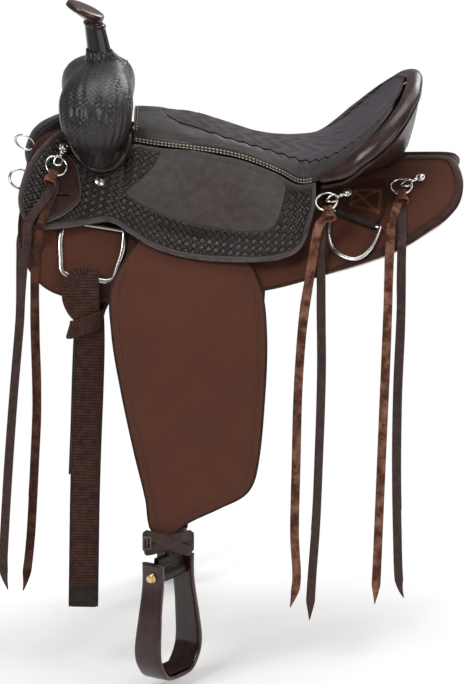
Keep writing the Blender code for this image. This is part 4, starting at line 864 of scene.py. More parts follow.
@dataclass(frozen=True)
class Finish:
    """Look of a surface: two tones, a small relief and the way it shines."""

    name: str
    colour: Colour
    second: Colour
    rough: float
    pattern: Pattern
    pitch: float
    depth: float
    uses: str = "object"
    metallic: float = 0.0
    specular: float = 0.3
    coat: float = 0.0
    sheen: float = 0.0
    wear: Optional[Colour] = None
    wear_width: float = 0.003
    inset: Optional["Finish"] = None
    inset_mask: str = ""
    seam: float = 0.0
    patchy: float = 0.20

    def place(self, tree: Tree) -> Socket:
        """Coordinates that the pattern uses: the piece's own or one of its maps."""
        if self.uses == "object":
            return tree.node("ShaderNodeTexCoord", {}).outputs["Object"]
        return tree.node("ShaderNodeUVMap", {}, uv_map=self.uses).outputs[0]

    def look(self, tree: Tree) -> tuple[Socket, Socket, Socket]:
        """Colour, roughness and height of this finish.

        Args:
            tree: Tree of the material.

        Returns:
            The three sockets.
        """
        own = tree.node("ShaderNodeTexCoord", {}).outputs["Object"]
        shape = tree.node("ShaderNodeGroup", {}, node_tree=relief_group(*self.pattern.value))
        tree.feed(shape.inputs[0], self.place(tree))
        tree.feed(shape.inputs[1], self.pitch)
        patches = tree.spread(tree.noise(own, 14.0, 3.0, 0.6), 0.30, 0.70)
        share = tree.maths("MULTIPLY_ADD", patches, self.patchy,
                           tree.maths("MULTIPLY", shape.outputs[1], 1.0 - self.patchy))
        colour = tree.mix(share, (*self.colour, 1.0), (*self.second, 1.0))
        rough = tree.maths("MULTIPLY_ADD", patches, 0.16, self.rough - 0.08, clamp=True)
        height = tree.maths("MULTIPLY", shape.outputs[0], self.depth)
        if self.wear is not None:
            edge = tree.node("ShaderNodeAttribute", {}, attribute_name="edge").outputs["Fac"]
            wear = group_of("edge_wear", WEAR_INPUTS, ("Mask",), fill_wear)
            wear_and_highlight_patches = tree.node("ShaderNodeGroup", {}, node_tree=wear)
            for socket, value in zip(wear_and_highlight_patches.inputs, (own, edge, self.wear_width)):
                tree.feed(socket, value)
            colour = tree.mix(wear_and_highlight_patches.outputs[0], colour, (*self.wear, 1.0))
        return colour, rough, height

    def material(self) -> bpy.types.Material:
        """The finish as a material, made once."""
        if self.name in bpy.data.materials and bpy.data.materials[self.name].get("finish"):
            return bpy.data.materials[self.name]
        made = bpy.data.materials.new(self.name)
        made["finish"] = True
        made.use_nodes = True
        made.diffuse_color = (*self.colour, 1.0)
        tree = Tree(made.node_tree)
        made.node_tree.nodes.clear()
        colour, rough, height = self.look(tree)
        if self.inset is not None:
            mask = tree.node("ShaderNodeAttribute", {}, attribute_name=self.inset_mask).outputs["Fac"]
            within = tree.spread(mask, -0.0006, 0.0006)
            line = tree.spread(tree.maths("ABSOLUTE", tree.maths("ADD", mask, 0.0004)), 0.0022, 0.0006)
            inner = self.inset.look(tree)
            colour = tree.mix(within, colour, inner[0])
            colour = tree.mix(tree.maths("MULTIPLY", line, self.seam), colour, (0.012, 0.009, 0.008, 1.0))
            rough, height = (tree.node("ShaderNodeMix", {0: within, 2: a, 3: b}, data_type="FLOAT").outputs[0]
                             for a, b in ((rough, inner[1]), (height, inner[2])))
            height = tree.maths("MULTIPLY_ADD", line, -0.0006 * self.seam, height)
        bump = tree.node("ShaderNodeBump", {"Strength": 1.0, "Distance": 1.0, "Height": height})
        shader = tree.node("ShaderNodeBsdfPrincipled", {"Base Color": colour, "Roughness": rough,
                                                        "Metallic": self.metallic, "Normal": bump.outputs[0],
                                                        "Specular IOR Level": self.specular,
                                                        "Coat Weight": self.coat, "Coat Roughness": 0.22,
                                                        "Sheen Weight": self.sheen, "Sheen Roughness": 0.5})
        output = tree.node("ShaderNodeOutputMaterial", {})
        tree.feed(output.inputs[0], shader.outputs[0])
        return made


# Stamped leather: the near-black first colour is painted shade in the stamp's grooves and the lighter second
# colour is painted highlight on its raised tops.
STAMPED = Finish("stamped_leather", (0.003, 0.0016, 0.0014), (0.040, 0.025, 0.021), 0.30, Pattern.BASKET,
                 0.0074, 0.0011, "flat", specular=0.3, patchy=0.06)
BORDER = Finish("smooth_leather", (0.036, 0.026, 0.0245), (0.058, 0.045, 0.043), 0.42, Pattern.GRAIN, 0.0022,
                0.00010, specular=0.2, wear=(0.115, 0.096, 0.090), wear_width=0.0035)
SEAT_LEATHER = Finish("seat_smooth_leather", (0.030, 0.024, 0.024), (0.054, 0.045, 0.046), 0.42,
                      Pattern.GRAIN, 0.0026, 0.00010, "flat", specular=0.25)
SUEDE = Finish("seat_suede", (0.048, 0.039, 0.046), (0.118, 0.101, 0.115), 0.9, Pattern.SUEDE, 0.0016,
               0.00014, specular=0.08, sheen=0.04)
ROLL_LEATHER = Finish("roll_leather", (0.020, 0.009, 0.007), (0.048, 0.023, 0.017), 0.30, Pattern.GRAIN,
                      0.0030, 0.00008, specular=0.35, coat=0.2)
BINDING = Finish("binding_leather", (0.026, 0.010, 0.007), (0.050, 0.021, 0.015), 0.5, Pattern.GRAIN, 0.0020,
                 0.00010, specular=0.12)
DARK_LEATHER = Finish("dark_leather", (0.010, 0.006, 0.005), (0.026, 0.017, 0.014), 0.42, Pattern.GRAIN,
                      0.0020, 0.00010, specular=0.2)
# Near-black finish of the keeper's slot: painted shade inside the cut.
SLOT_SHADE = Finish("cut_leather", (0.002, 0.001, 0.001), (0.004, 0.003, 0.002), 0.8, Pattern.GRAIN, 0.0020, 0.0,
              specular=0.05)
HORN_LEATHER = Finish("horn_leather", (0.008, 0.005, 0.005), (0.022, 0.014, 0.014), 0.26, Pattern.GRAIN,
                      0.0030, 0.00007, coat=0.3)
CAP_LEATHER = Finish("cap_leather", (0.030, 0.008, 0.005), (0.075, 0.024, 0.014), 0.24, Pattern.GRAIN, 0.0030,
                     0.00007, coat=0.4)
WELT_LEATHER = Finish("welt_leather", (0.016, 0.007, 0.006), (0.038, 0.019, 0.015), 0.34, Pattern.GRAIN,
                      0.0024, 0.00008, specular=0.25, coat=0.1)
# Cloth: the second colour comes partly from random slub and partly on thread crossings as painted highlight,
# with the dips between threads darker as painted shade.
CORDURA = Finish("brown_cloth", (0.074, 0.026, 0.016), (0.128, 0.050, 0.034), 0.9, Pattern.WEAVE, 0.0013,
                 0.00030, "flat", specular=0.08, sheen=0.02)
# Webbing: its two colours follow the ribs, so the dark first colour is painted shade in the grooves and the
# lighter second colour painted highlight on the rib tops.
WEBBING = Finish("brown_webbing", (0.020, 0.008, 0.006), (0.095, 0.042, 0.031), 0.75, Pattern.RIBS, 0.0044,
                 0.0010, "flat", specular=0.12, sheen=0.02)
# Dark webbing: the dark first colour is painted shade between the ribs and the lighter second colour painted
# highlight on their tops.
DARK_WEBBING = Finish("dark_webbing", (0.012, 0.007, 0.006), (0.050, 0.031, 0.026), 0.6, Pattern.RIBS, 0.0030,
                      0.0006, "flat", specular=0.2)
STRAP_LEATHER = Finish("rigging_leather", (0.038, 0.012, 0.007), (0.070, 0.025, 0.015), 0.66, Pattern.SUEDE,
                       0.0018, 0.00012, specular=0.15, wear=(0.03, 0.012, 0.008))
LIGHT_STRING = Finish("light_string", (0.210, 0.092, 0.058), (0.320, 0.155, 0.104), 0.9, Pattern.SUEDE,
                      0.0012, 0.00016, specular=0.08, sheen=0.02, wear=(0.070, 0.027, 0.017),
                      wear_width=0.0020)
BROWN_STRING = Finish("brown_string", (0.070, 0.026, 0.016), (0.130, 0.055, 0.038), 0.85, Pattern.SUEDE,
                      0.0012, 0.00016, specular=0.1, sheen=0.02, wear=(0.030, 0.012, 0.008),
                      wear_width=0.0020)
DARK_STRING = Finish("dark_string", (0.022, 0.009, 0.008), (0.060, 0.028, 0.022), 0.50, Pattern.GRAIN, 0.0014,
                     0.00012, specular=0.3)
STEEL = Finish("polished_steel", (0.62, 0.60, 0.57), (0.78, 0.76, 0.73), 0.20, Pattern.BRUSHED, 0.0008,
               0.00001, metallic=1.0)
BRASS = Finish("polished_brass", (0.58, 0.38, 0.15), (0.80, 0.58, 0.28), 0.24, Pattern.BRUSHED, 0.0008,
               0.00001, metallic=1.0)
LACQUER = Finish("maroon_lacquer", (0.016, 0.005, 0.005), (0.040, 0.012, 0.011), 0.22, Pattern.FIBRES, 0.010,
                 0.00012, coat=0.4, wear=(0.10, 0.055, 0.04), wear_width=0.0012)
THREAD = Finish("cream_thread", (0.50, 0.42, 0.30), (0.68, 0.60, 0.46), 0.7, Pattern.FIBRES, 0.0006, 0.00008)
RUST_THREAD = replace(THREAD, name="rust_thread", colour=(0.20, 0.075, 0.035), second=(0.32, 0.13, 0.065))
DARK_THREAD = replace(THREAD, name="dark_thread", colour=(0.060, 0.035, 0.026), second=(0.11, 0.07, 0.05))
# Wool: the lighter second colour is painted on the tops of the locks and the darker first colour in the
# hollows between them, as painted shade.
WOOL = Finish("cream_wool", (0.44, 0.37, 0.27), (0.72, 0.66, 0.55), 0.95, Pattern.PILE, 0.0050, 0.0024,
              sheen=0.5)
RESIN = Finish("tree_resin", (0.022, 0.015, 0.011), (0.046, 0.034, 0.026), 0.5, Pattern.FIBRES, 0.006, 0.0002)
SEAT_FINISH = Finish("seat_leather_and_suede", SEAT_LEATHER.colour, SEAT_LEATHER.second, SEAT_LEATHER.rough,
                     Pattern.GRAIN, 0.0026, 0.00010, "flat", inset=SUEDE, inset_mask="suede", seam=0.8)
JOCKEY_FINISH = Finish("jockey_leather", BORDER.colour, BORDER.second, BORDER.rough, Pattern.GRAIN, 0.0022,
                       0.00010, wear=BORDER.wear, wear_width=0.0035, inset=STAMPED, inset_mask="stamp",
                       seam=0.7)
KEEPER_FACE = Finish("keeper_face", (0.020, 0.009, 0.007), (0.045, 0.020, 0.015), 0.26, Pattern.GRAIN,
                     0.0026, 0.00008)
KEEPER_FINISH = Finish("keeper_leather", (0.060, 0.040, 0.034), (0.110, 0.080, 0.068), 0.36, Pattern.GRAIN,
                       0.0022, 0.00010, inset=KEEPER_FACE, inset_mask="stamp", seam=0.7)
# Cantle stamp: the dark first colour is painted shade in the grooves and the lighter second colour painted
# highlight on the raised tops.
CANTLE_STAMP = Finish("cantle_stamp", (0.012, 0.005, 0.004), (0.085, 0.040, 0.028), 0.40, Pattern.BASKET,
                      0.0062, 0.0008, "flat")
CANTLE_FINISH = Finish("cantle_leather_stamped", (0.022, 0.010, 0.007), (0.048, 0.024, 0.017), 0.32,
                       Pattern.GRAIN, 0.0022, 0.00010, coat=0.2, inset=CANTLE_STAMP, inset_mask="stamp",
                       seam=0.6)
# Fork cover: the near-black first colour is painted shade in the stamp's grooves and the lighter second
# colour painted highlight on its raised tops.
FORK_FINISH = Finish("fork_stamped", (0.003, 0.002, 0.002), (0.046, 0.036, 0.038), 0.27, Pattern.BASKET,
                     0.0062, 0.0009, "flat", specular=0.4, coat=0.25)
HOBBLE_LEATHER = Finish("hobble_leather", (0.026, 0.014, 0.011), (0.062, 0.037, 0.029), 0.55, Pattern.GRAIN,
                        0.0020, 0.00012)
BUCKLE_METAL = Finish("dull_buckle", (0.10, 0.085, 0.075), (0.22, 0.20, 0.18), 0.38, Pattern.BRUSHED, 0.0008,
                      0.00001, metallic=1.0)


# Pieces

def add_piece(name: str, shape: Surface | bpy.types.Mesh, finish: Finish, body: str,
              replaces: Sequence[str] = ()) -> bpy.types.Object:
    """Puts a finished piece in the scene.

    Args:
        name: Name of the piece.
        shape: Its surface or mesh.
        finish: Its look.
        body: Body of the frame that it rides on.
        replaces: Solids of the frame that it stands for.

    Returns:
        The piece.
    """
    mesh = shape.mesh(name) if isinstance(shape, Surface) else shape
    mesh.name = name
    made = bpy.data.objects.new(name, mesh)
    bpy.context.scene.collection.objects.link(made)
    mesh.materials.append(finish.material())
    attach(made, body)
    if replaces:
        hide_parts(*replaces)
    return made


def joined(shapes: Iterable[Surface]) -> bpy.types.Mesh:
    """One mesh of several closed shapes."""
    points, faces, start = [], [], 0
    for shape in shapes:
        mesh = shape.mesh("part")
        places = np.empty(len(mesh.vertices) * 3)
        mesh.vertices.foreach_get("co", places)
        points.append(places.reshape(-1, 3))
        faces += [tuple(start + v for v in polygon.vertices) for polygon in mesh.polygons]
        start += len(mesh.vertices)
        bpy.data.meshes.remove(mesh)
    whole = bpy.data.meshes.new("whole")
    whole.from_pydata(np.concatenate(points).tolist(), [], faces)
    whole.update()
    whole.shade_smooth()
    return whole


def lathe(centre: Array, axis: Array, profile: Sequence[tuple[float, float]], count: int = 32) -> Surface:
    """Surface turned round an axis: circles whose radius and height follow a profile."""
    axis = unit(np.asarray(axis, float))
    side = unit(np.cross(axis, (0.0, 0.0, 1.0) if abs(axis[2]) < 0.9 else (1.0, 0.0, 0.0)))
    other = np.cross(axis, side)
    turn = turns(count)
    circle = np.cos(turn)[:, None] * side + np.sin(turn)[:, None] * other
    return tube(np.array([np.asarray(centre) + axis * h + circle * r for r, h in profile]))


def torus(centre: Array, normal: Array, radius: float, wire: float, count: int = 48) -> Surface:
    """Round wire ring."""
    normal = unit(np.asarray(normal, float))
    side = unit(np.cross(normal, (0.1, 0.2, 1.0)))
    other = np.cross(normal, side)
    turn = turns(count)[:, None]
    path = np.asarray(centre) + radius * (np.cos(turn) * side + np.sin(turn) * other)
    return sweep(path, normal, round_profile(wire, 12), closed=True)


def tube_along(points: Sequence[Sequence[float]] | Array, radius: float, count: int) -> Surface:
    """Round bar along a smooth line through points."""
    path = line_through(points, count * 3, count)
    return sweep(path, np.array([0.31, 0.47, 0.83]), round_profile(radius, 12))


def tapered(count: int, share: float = 0.05, end: float = 0.25) -> Array:
    """Sizes along a piece whose ends are rounded off."""
    t = np.linspace(0.0, 1.0, count)
    near = np.minimum(t, 1.0 - t) / share
    return end + (1.0 - end) * np.sqrt(np.clip(1.0 - (1.0 - np.clip(near, 0, 1)) ** 2, 0.0, 1.0))


# Heights outwards from the horse
FLEECE, SKIRT, STRAP, LEATHER = 0.012, 0.004, 0.0035, 0.004
SKIRT_TOP, STRAP_TOP, JOCKEY_LOW = 0.0175, 0.0225, 0.0345
DEE_HEIGHT = STRAP_TOP + 0.0012

# Place along and down of a dee's bar, the dee's turn and its depth
FRONT_DEE = (-0.152, 0.161, math.radians(7.0), 0.084)
REAR_DEE = (0.2230, 0.127, math.radians(33.7), 0.068)


@dataclass
class Skirts:
    """Cloth skirts with their bindings, and the wool under them."""

    side: Side
    outline: tuple = ((-0.190, 0.040, 1), (0.235, 0.022, 1), (0.298, 0.004, 1), (0.345, 0.004),
                      (0.364, 0.013), (0.375, 0.046), (0.377, 0.078), (0.370, 0.112), (0.352, 0.138),
                      (0.328, 0.157), (0.290, 0.182), (0.242, 0.196), (0.185, 0.202), (0.128, 0.209),
                      (0.040, 0.222), (-0.080, 0.250), (-0.197, 0.277), (-0.229, 0.275), (-0.251, 0.255),
                      (-0.260, 0.225), (-0.258, 0.185), (-0.245, 0.130), (-0.222, 0.080))
    spine: tuple = ((-0.190, 0.140), (0.320, 0.085))
    wool_inset: float = 0.006
    stitched_from: float = 0.19

    def place(self, top: float) -> Place:
        """Layer of this side whose top face is at a height."""
        return lambda x, s, h: Back.at(x, s, top + h, self.side)

    @staticmethod
    def pressed(x: Array, s: Array, away: Array) -> Array:
        """Cloth relief: slack waves, and a hollow along the row of stitches beside the binding."""
        slack = 0.00035 * np.sin(31 * x + 17 * s) * np.sin(23 * s - 9 * x + 1.0)
        return slack * smooth(away / 0.03) - 0.0006 * np.exp(-((away - 0.0145) / 0.0022) ** 2)

    @staticmethod
    def binding_width(x: Array) -> Array:
        """Width of the binding, which is broad round the rear corner."""
        return 0.0035 + 0.0085 * smooth((x - 0.16) / 0.10)

    def build(self) -> None:
        """Makes the skirt, its binding, its stitches and its wool."""
        word = self.side.word
        skirt = Panel(self.outline, self.place(SKIRT_TOP), SKIRT, self.spine, 640, 22, relief=self.pressed)
        add_piece("skirt_cloth_" + word, skirt.surface(), CORDURA, "saddle", ["skirt_" + word])
        add_piece("skirt_binding_" + word, skirt.binding(self.binding_width, 0.0011), BINDING, "saddle")
        line = skirt.line_at(0.0155, 0.0001, 900)
        rear = line[line[:, 0] > self.stitched_from]
        apart = np.linalg.norm(np.diff(rear, axis=0), axis=1) > 0.01
        if apart.any():
            rear = np.roll(rear, -int(np.argmax(apart)) - 1, axis=0)
        out = unit(np.array([0.0, self.side.sign * 0.55, 0.83]))
        add_piece("skirt_stitches_" + word, stitches([stitch_row(rear, out)]),
                  DARK_THREAD, "saddle")
        middle = np.mean([p[:2] for p in self.outline], axis=0)
        drawn = tuple((*(np.array(p[:2]) + unit(middle - p[:2]) * self.wool_inset), *p[2:])
                      for p in self.outline)
        wool = Panel(drawn, self.place(FLEECE), FLEECE, self.spine, 420, 30, relief=self.curls)
        fleece = add_piece("wool_" + word, wool.surface(), WOOL, "saddle", ["fleece_" + word])

    @staticmethod
    def curls(x: Array, s: Array, away: Array) -> Array:
        """Relief of the wool: crossed short waves, so that its edge looks shaggy."""
        return 0.0005 * np.sin(410 * x + 3 * np.sin(190 * s)) * np.sin(380 * s + 2 * np.sin(230 * x))


@dataclass
class Rigging:
    """Straps sewn to the skirt, the dees hung from them and the breast-collar ring."""

    side: Side
    rear_strap: tuple = ((0.181, 0.072), (0.185, 0.092), (0.1943, 0.1018, 1), (0.2543, 0.1418, 1),
                         (0.262, 0.122), (0.2695, 0.072), (0.261, 0.059), (0.225, 0.064))
    front_strap: tuple = ((-0.196, 0.112, 1), (-0.108, 0.112, 1), (-0.108, 0.1548, 1), (-0.196, 0.1455, 1))
    tab: tuple = ((-0.2395, 0.131, 1), (-0.2395, 0.156, 1), (-0.209, 0.154, 1), (-0.209, 0.133, 1))
    cross_box: tuple = ((0.221, 0.073), (0.260, 0.082), (0.256, 0.124), (0.213, 0.101))
    front_half: float = 0.0475
    front_flat: float = 0.028
    front_wire: float = 0.0035
    rear_half: float = 0.0430
    rear_wire: float = 0.0032
    rear_lean: float = 0.28
    ring_at: tuple = (-0.2585, 0.143, STRAP_TOP + 0.0004)
    ring_radius: float = 0.0150
    ring_wire: float = 0.0018

    def place(self, x: Array, s: Array, h: Array) -> Array:
        """Layer of the straps."""
        return Back.at(x, s, STRAP_TOP + h, self.side)

    @staticmethod
    def dee_frame(side: Side, x: float, s: float, turn: float, depth: float) -> tuple[Array, Array, Array]:
        """Middle of a dee's straight bar, the direction of that bar and the way down the dee."""
        pivot = Back.at(x, s, DEE_HEIGHT, side)
        low = Back.at(x - math.sin(turn) * depth, s + math.cos(turn) * depth, DEE_HEIGHT + 0.001, side)
        reach = unit(low - pivot)
        bar = Back.at(x + math.cos(turn) * 0.03, s + math.sin(turn) * 0.03, DEE_HEIGHT, side) - pivot
        return pivot, unit(bar - reach * (bar @ reach)), reach

    @staticmethod
    def dee(axes: tuple[Array, Array, Array], points: Sequence, band: float, thick: float,
            lean: float = 0.0) -> Surface:
        """Flat rounded wire bent along an outline in the dee's plane.

        Args:
            axes: What dee_frame gave.
            points: Points of the outline, along the bar and down the dee.
            band: Width of the wire in the dee's plane.
            thick: Thickness of the wire.
            lean: Slant of the outline along the bar.

        Returns:
            The surface.
        """
        pivot, bar, reach = axes
        outline = outline_curve(points, 160)
        path = pivot + (outline[:, :1] + lean * outline[:, 1:]) * bar + outline[:, 1:] * reach
        return sweep(path, np.cross(bar, reach), band_profile(thick, band, 2.6, 20), closed=True)

    def straps(self, word: str) -> None:
        """The sewn straps with their stitches."""
        rear = Panel(self.rear_strap, self.place, STRAP, ((0.200, 0.085), (0.250, 0.100)), 260, 8, 0.005)
        add_piece("rigging_strap_rear_" + word, rear.surface(), STRAP_LEATHER, "saddle",
                  ["rear_rigging_strap_" + word])
        front = Panel(self.front_strap, self.place, STRAP, ((-0.185, 0.130), (-0.120, 0.133)), 240, 7, 0.004)
        add_piece("rigging_strap_front_" + word, front.surface(), STRAP_LEATHER, "saddle",
                  ["front_rigging_strap_" + word])
        tab = Panel(self.tab, self.place, STRAP, ((-0.230, 0.143), (-0.218, 0.143)), 120, 5, 0.003)
        add_piece("ring_tab_" + word, tab.surface(), DARK_LEATHER, "saddle", ["breast_tab_" + word])
        a, b, c, d = (np.array(p) for p in self.cross_box)
        rows = []
        for start, end in ((a, b), (b, c), (c, d), (d, a), (a, c), (b, d)):
            for shift in (0.0, 0.0028):
                side_way = np.array([-(end - start)[1], (end - start)[0]])
                f = np.linspace(0.0, 1.0, 24)[:, None]
                line = start + (end - start) * f + unit(side_way) * shift
                path = Back.at(line[:, 0], line[:, 1], STRAP_TOP + 0.0002, self.side)
                out = Back.axes(*line[12], STRAP_TOP, self.side)[2]
                rows.append(stitch_row(path, out, 0.0026, 0.0012, 0.0005))
        add_piece("rigging_stitches_" + word, stitches(rows), RUST_THREAD, "saddle")

    def build(self) -> None:
        """Makes the straps, the dees, the webbing sleeve and the breast ring."""
        word = self.side.word
        self.straps(word)
        self.front_dee(word)
        self.rear_dee(word)
        x, s, height = self.ring_at
        facing = Back.axes(x, s, height, self.side)[2]
        ring = torus(Back.at(x, s, height, self.side), facing, self.ring_radius, self.ring_wire)
        add_piece("collar_ring_" + word, ring, STEEL, "breast_ring_body_" + word, ["breast_ring_" + word])

    def front_dee(self, word: str) -> None:
        """Dee that the tie strap is knotted to: a bar, sides that draw in and a flat bottom."""
        half, depth, flat = self.front_half - self.front_wire, FRONT_DEE[3] - self.front_wire, self.front_flat
        right = [(half, 0.0, 1), (half + 0.001, depth * 0.38), (half - 0.003, depth * 0.70),
                 (half + (flat - half) * 0.45, depth * 0.93), (flat, depth, 1)]
        points = right + [(-p[0], *p[1:]) for p in reversed(right)]
        shape = self.dee(self.dee_frame(self.side, *FRONT_DEE), points, 0.0066, 0.0038)
        add_piece("dee_front_" + word, shape, STEEL, "front_dee_body_" + word, ["front_dee_" + word])

    def rear_dee(self, word: str) -> None:
        """Bowed dee, whose curve is a superellipse, and the webbing sleeve round its bar."""
        half, depth = self.rear_half - self.rear_wire, REAR_DEE[3] - self.rear_wire
        turn, power = np.linspace(0.0, math.pi, 15)[1:-1], 2 / 2.4
        bow = np.stack([half * signed_power(np.cos(turn), power), depth * np.sin(turn) ** power], axis=1)
        axes = self.dee_frame(self.side, *REAR_DEE)
        shape = self.dee(axes, [(-half, 0.0, 1), (half, 0.0, 1), *bow.tolist()], 0.0060, 0.0034,
                         self.rear_lean)
        add_piece("dee_rear_" + word, shape, STEEL, "rear_dee_body_" + word, ["rear_dee_" + word])
        pivot, bar, reach = axes
        ends = np.linspace(-0.0325, 0.0325, 30)[:, None]
        ripple = 1.0 + 0.10 * np.sin(np.linspace(0, 24 * math.pi, 30)) ** 2
        sleeve = sweep(pivot + ends * bar, np.cross(bar, reach), round_profile(0.0062, 20),
                       size=tapered(30, 0.06, 0.7) * ripple)
        add_piece("dee_sleeve_" + word, sleeve, DARK_WEBBING, "saddle")


# Seat stations: middle x and z, then edge x, y and z
SEAT_STATIONS = np.array([
    (-0.096, 0.1255, -0.097, 0.050, 0.0962), (-0.060, 0.1230, -0.060, 0.058, 0.0920),
    (-0.010, 0.1170, -0.010, 0.070, 0.0885), (0.040, 0.1010, 0.040, 0.068, 0.0800),
    (0.080, 0.0880, 0.078, 0.069, 0.0690), (0.120, 0.0820, 0.115, 0.088, 0.0575),
    (0.165, 0.0830, 0.141, 0.114, 0.0500), (0.200, 0.0920, 0.164, 0.127, 0.0560),
    (0.228, 0.1060, 0.192, 0.134, 0.0750), (0.252, 0.1250, 0.213, 0.137, 0.0920),
    (0.271, 0.1420, 0.233, 0.134, 0.1090), (0.283, 0.1550, 0.253, 0.123, 0.1270),
    (0.290, 0.1640, 0.273, 0.096, 0.1450), (0.2930, 0.1680, 0.2860, 0.052, 0.1590)])


@dataclass
class Seat:
    """Padded seat: smooth leather round a quilted suede inset."""

    middle_thick: float = 0.014
    edge_thick: float = 0.009
    quilt_depth: float = 0.0042
    pitch: float = 0.027
    last: float = 13.0
    suede_ends: tuple = (1.05, 12.70)
    rows: int = 190
    columns: int = 130

    @staticmethod
    def at(t: Array, v: Array, drop: Array | float = 0.0) -> Array:
        """Point of the seat: stations along it, a parabola in x and a power of 2.2 in height across it."""
        t, v, drop = np.broadcast_arrays(np.asarray(t, float), v, drop)
        x_mid, z_mid, x_edge, y_edge, z_edge = np.moveaxis(through(SEAT_STATIONS, t), -1, 0)
        return np.stack([x_mid + (x_edge - x_mid) * v**2, y_edge * v,
                         z_mid + (z_edge - z_mid) * np.abs(v) ** 2.2 - drop], axis=-1)

    @staticmethod
    def suede_edge(t: Array) -> Array:
        """Share across the seat that the suede reaches: a line through known stations, plus a zigzag."""
        known = ((1.05, 0.0), (1.25, 0.35), (1.6, 0.55), (2.2, 0.64), (3.0, 0.70), (4.5, 0.68), (6.0, 0.74),
                 (7.6, 0.74), (10.0, 0.78), (11.4, 0.80), (12.2, 0.74), (12.55, 0.50), (12.7, 0.0))
        zigzag = 0.055 * (2.0 * np.abs((t * 2.1) % 1.0 - 0.5) - 0.5)
        return np.interp(t, *zip(*known)) + zigzag * smooth((t - 1.9) / 0.6) * smooth((11.0 - t) / 1.0)

    def suede_depth(self, t: Array, v: Array) -> Array:
        """Rough distance inside the suede's edge, below zero outside."""
        half = through(SEAT_STATIONS, t)[..., 3]
        across = (self.suede_edge(t) - np.abs(v)) * half
        along = np.minimum(t - self.suede_ends[0], self.suede_ends[1] - t) * 0.03
        return np.minimum(across, along)

    def relief(self, t: Array, v: Array) -> Array:
        """Quilting: grooves along zigzag rows, drawn out into tips up the cantle, and plump edges."""
        steps = np.linspace(0.0, self.last, 400)
        far = np.interp(t, steps, run_along(self.at(steps, 0.0)))
        tooth = 2.0 * np.abs((np.abs(v) * 2.4 + 0.25) % 1.0 - 0.5)
        swing = 0.022 + 0.040 * smooth((t - 4.5) / 4.0)
        row = (far + swing * (tooth - 0.5)) / self.pitch
        away = np.abs(row % 1.0 - 0.5) * self.pitch / np.sqrt(1.0 + (swing * 30.0) ** 2)
        depth = self.suede_depth(t, v)
        within = smooth(depth / 0.008)
        puff = 1.0 - np.exp(-(away / 0.0034) ** 2)
        border = smooth(-depth / 0.012) * (1.0 - smooth((np.abs(v) - 0.86) / 0.14))
        groove = np.exp(-(depth / 0.0022) ** 2)
        return self.quilt_depth * (puff - 1.0) * within + 0.0018 * border - 0.0020 * groove

    def build(self) -> None:
        """Makes the pad, the piping round its inset and the stitches along its seam."""
        t = np.concatenate([[0.0], np.linspace(0.02, self.last - 0.02, self.rows), [self.last]])
        v = np.linspace(-1.0, 1.0, self.columns)
        grid_t, grid_v = np.meshgrid(t, v, indexing="ij")
        full = 1.0 - np.exp(-np.minimum(grid_t, self.last - grid_t) / 0.10)
        top = self.at(grid_t, grid_v, 0.0016 * (1.0 - full))
        top = top + UP * (self.relief(grid_t, grid_v) * full)[..., None]
        under_t, under_v = np.meshgrid(t, v[::-1][1:-1:3], indexing="ij")
        thick = self.middle_thick + (self.edge_thick - self.middle_thick) * np.abs(under_v) ** 4
        under = self.at(under_t, under_v, thick)
        wider = np.ones((len(t), 1, 3))
        wider[:, 0, 1] = 1.014 + 0.030 * smooth((t - 6.6) / 1.0) * smooth((12.8 - t) / 0.8)
        drops = np.array([[0.003, 0.007, self.edge_thick + 0.002]])
        near, far = (self.at(t[:, None], np.full((1, 3), end), drops) * wider for end in (1.0, -1.0))
        points = np.concatenate([top, near, under, far[:, ::-1]], axis=1)
        rest = points.shape[1] - len(v)
        suede = np.concatenate([self.suede_depth(grid_t, grid_v), np.full((len(t), rest), -0.05)], axis=1)
        across = np.concatenate([grid_v * 0.11, np.full((len(t), rest + 1), 0.12)], axis=1)
        flat = np.stack(np.broadcast_arrays(across, t[:, None] * 0.033), axis=-1)
        pad = add_piece("padded_seat", tube(points, flat, suede=suede), SEAT_FINISH, "saddle", ["seat_pad"])
        self.trim()

    def trim(self) -> None:
        """Piping round the inset and the cream rows of stitches."""
        t = np.linspace(1.10, 12.66, 300)
        edge = self.suede_edge(t)
        loop = np.concatenate([self.at(t, -edge), self.at(t, edge)[::-1]])
        loop = even(loop, 420, closed=True) - UP * 0.0006
        add_piece("seat_piping", sweep(loop, UP, round_profile(0.0011, 8), closed=True), DARK_LEATHER,
                  "saddle")
        rows = []
        for side in Side:
            out = np.array([0.0, side.sign * 0.97, 0.25])
            for drop in (0.0045, 0.0085):
                line = self.at(np.linspace(0.08, 7.0, 260), side.sign, drop) * np.array([1.0, 1.014, 1.0])
                rows.append(stitch_row(line + out * 0.0002, out, 0.0036, 0.0018, 0.0006))
        for start in (0.08, 0.20):
            v = np.linspace(-0.925, 0.925, 160)
            rows.append(stitch_row(*self.on_top(np.full(len(v), start), v)))
        add_piece("seat_stitches", stitches(rows), THREAD, "saddle")

    def on_top(self, t: Array, v: Array) -> tuple[Array, Array]:
        """Points on the padded top and the directions out of it."""
        d = 0.002
        along = self.at(t + d, v) - self.at(t - d, v)
        across = self.at(t, v + d) - self.at(t, v - d)
        out = unit(np.cross(along, across))
        out *= np.sign(out[:, 2:])
        return self.at(t, v) + self.relief(t, v)[:, None] * UP + out * 0.0002, out


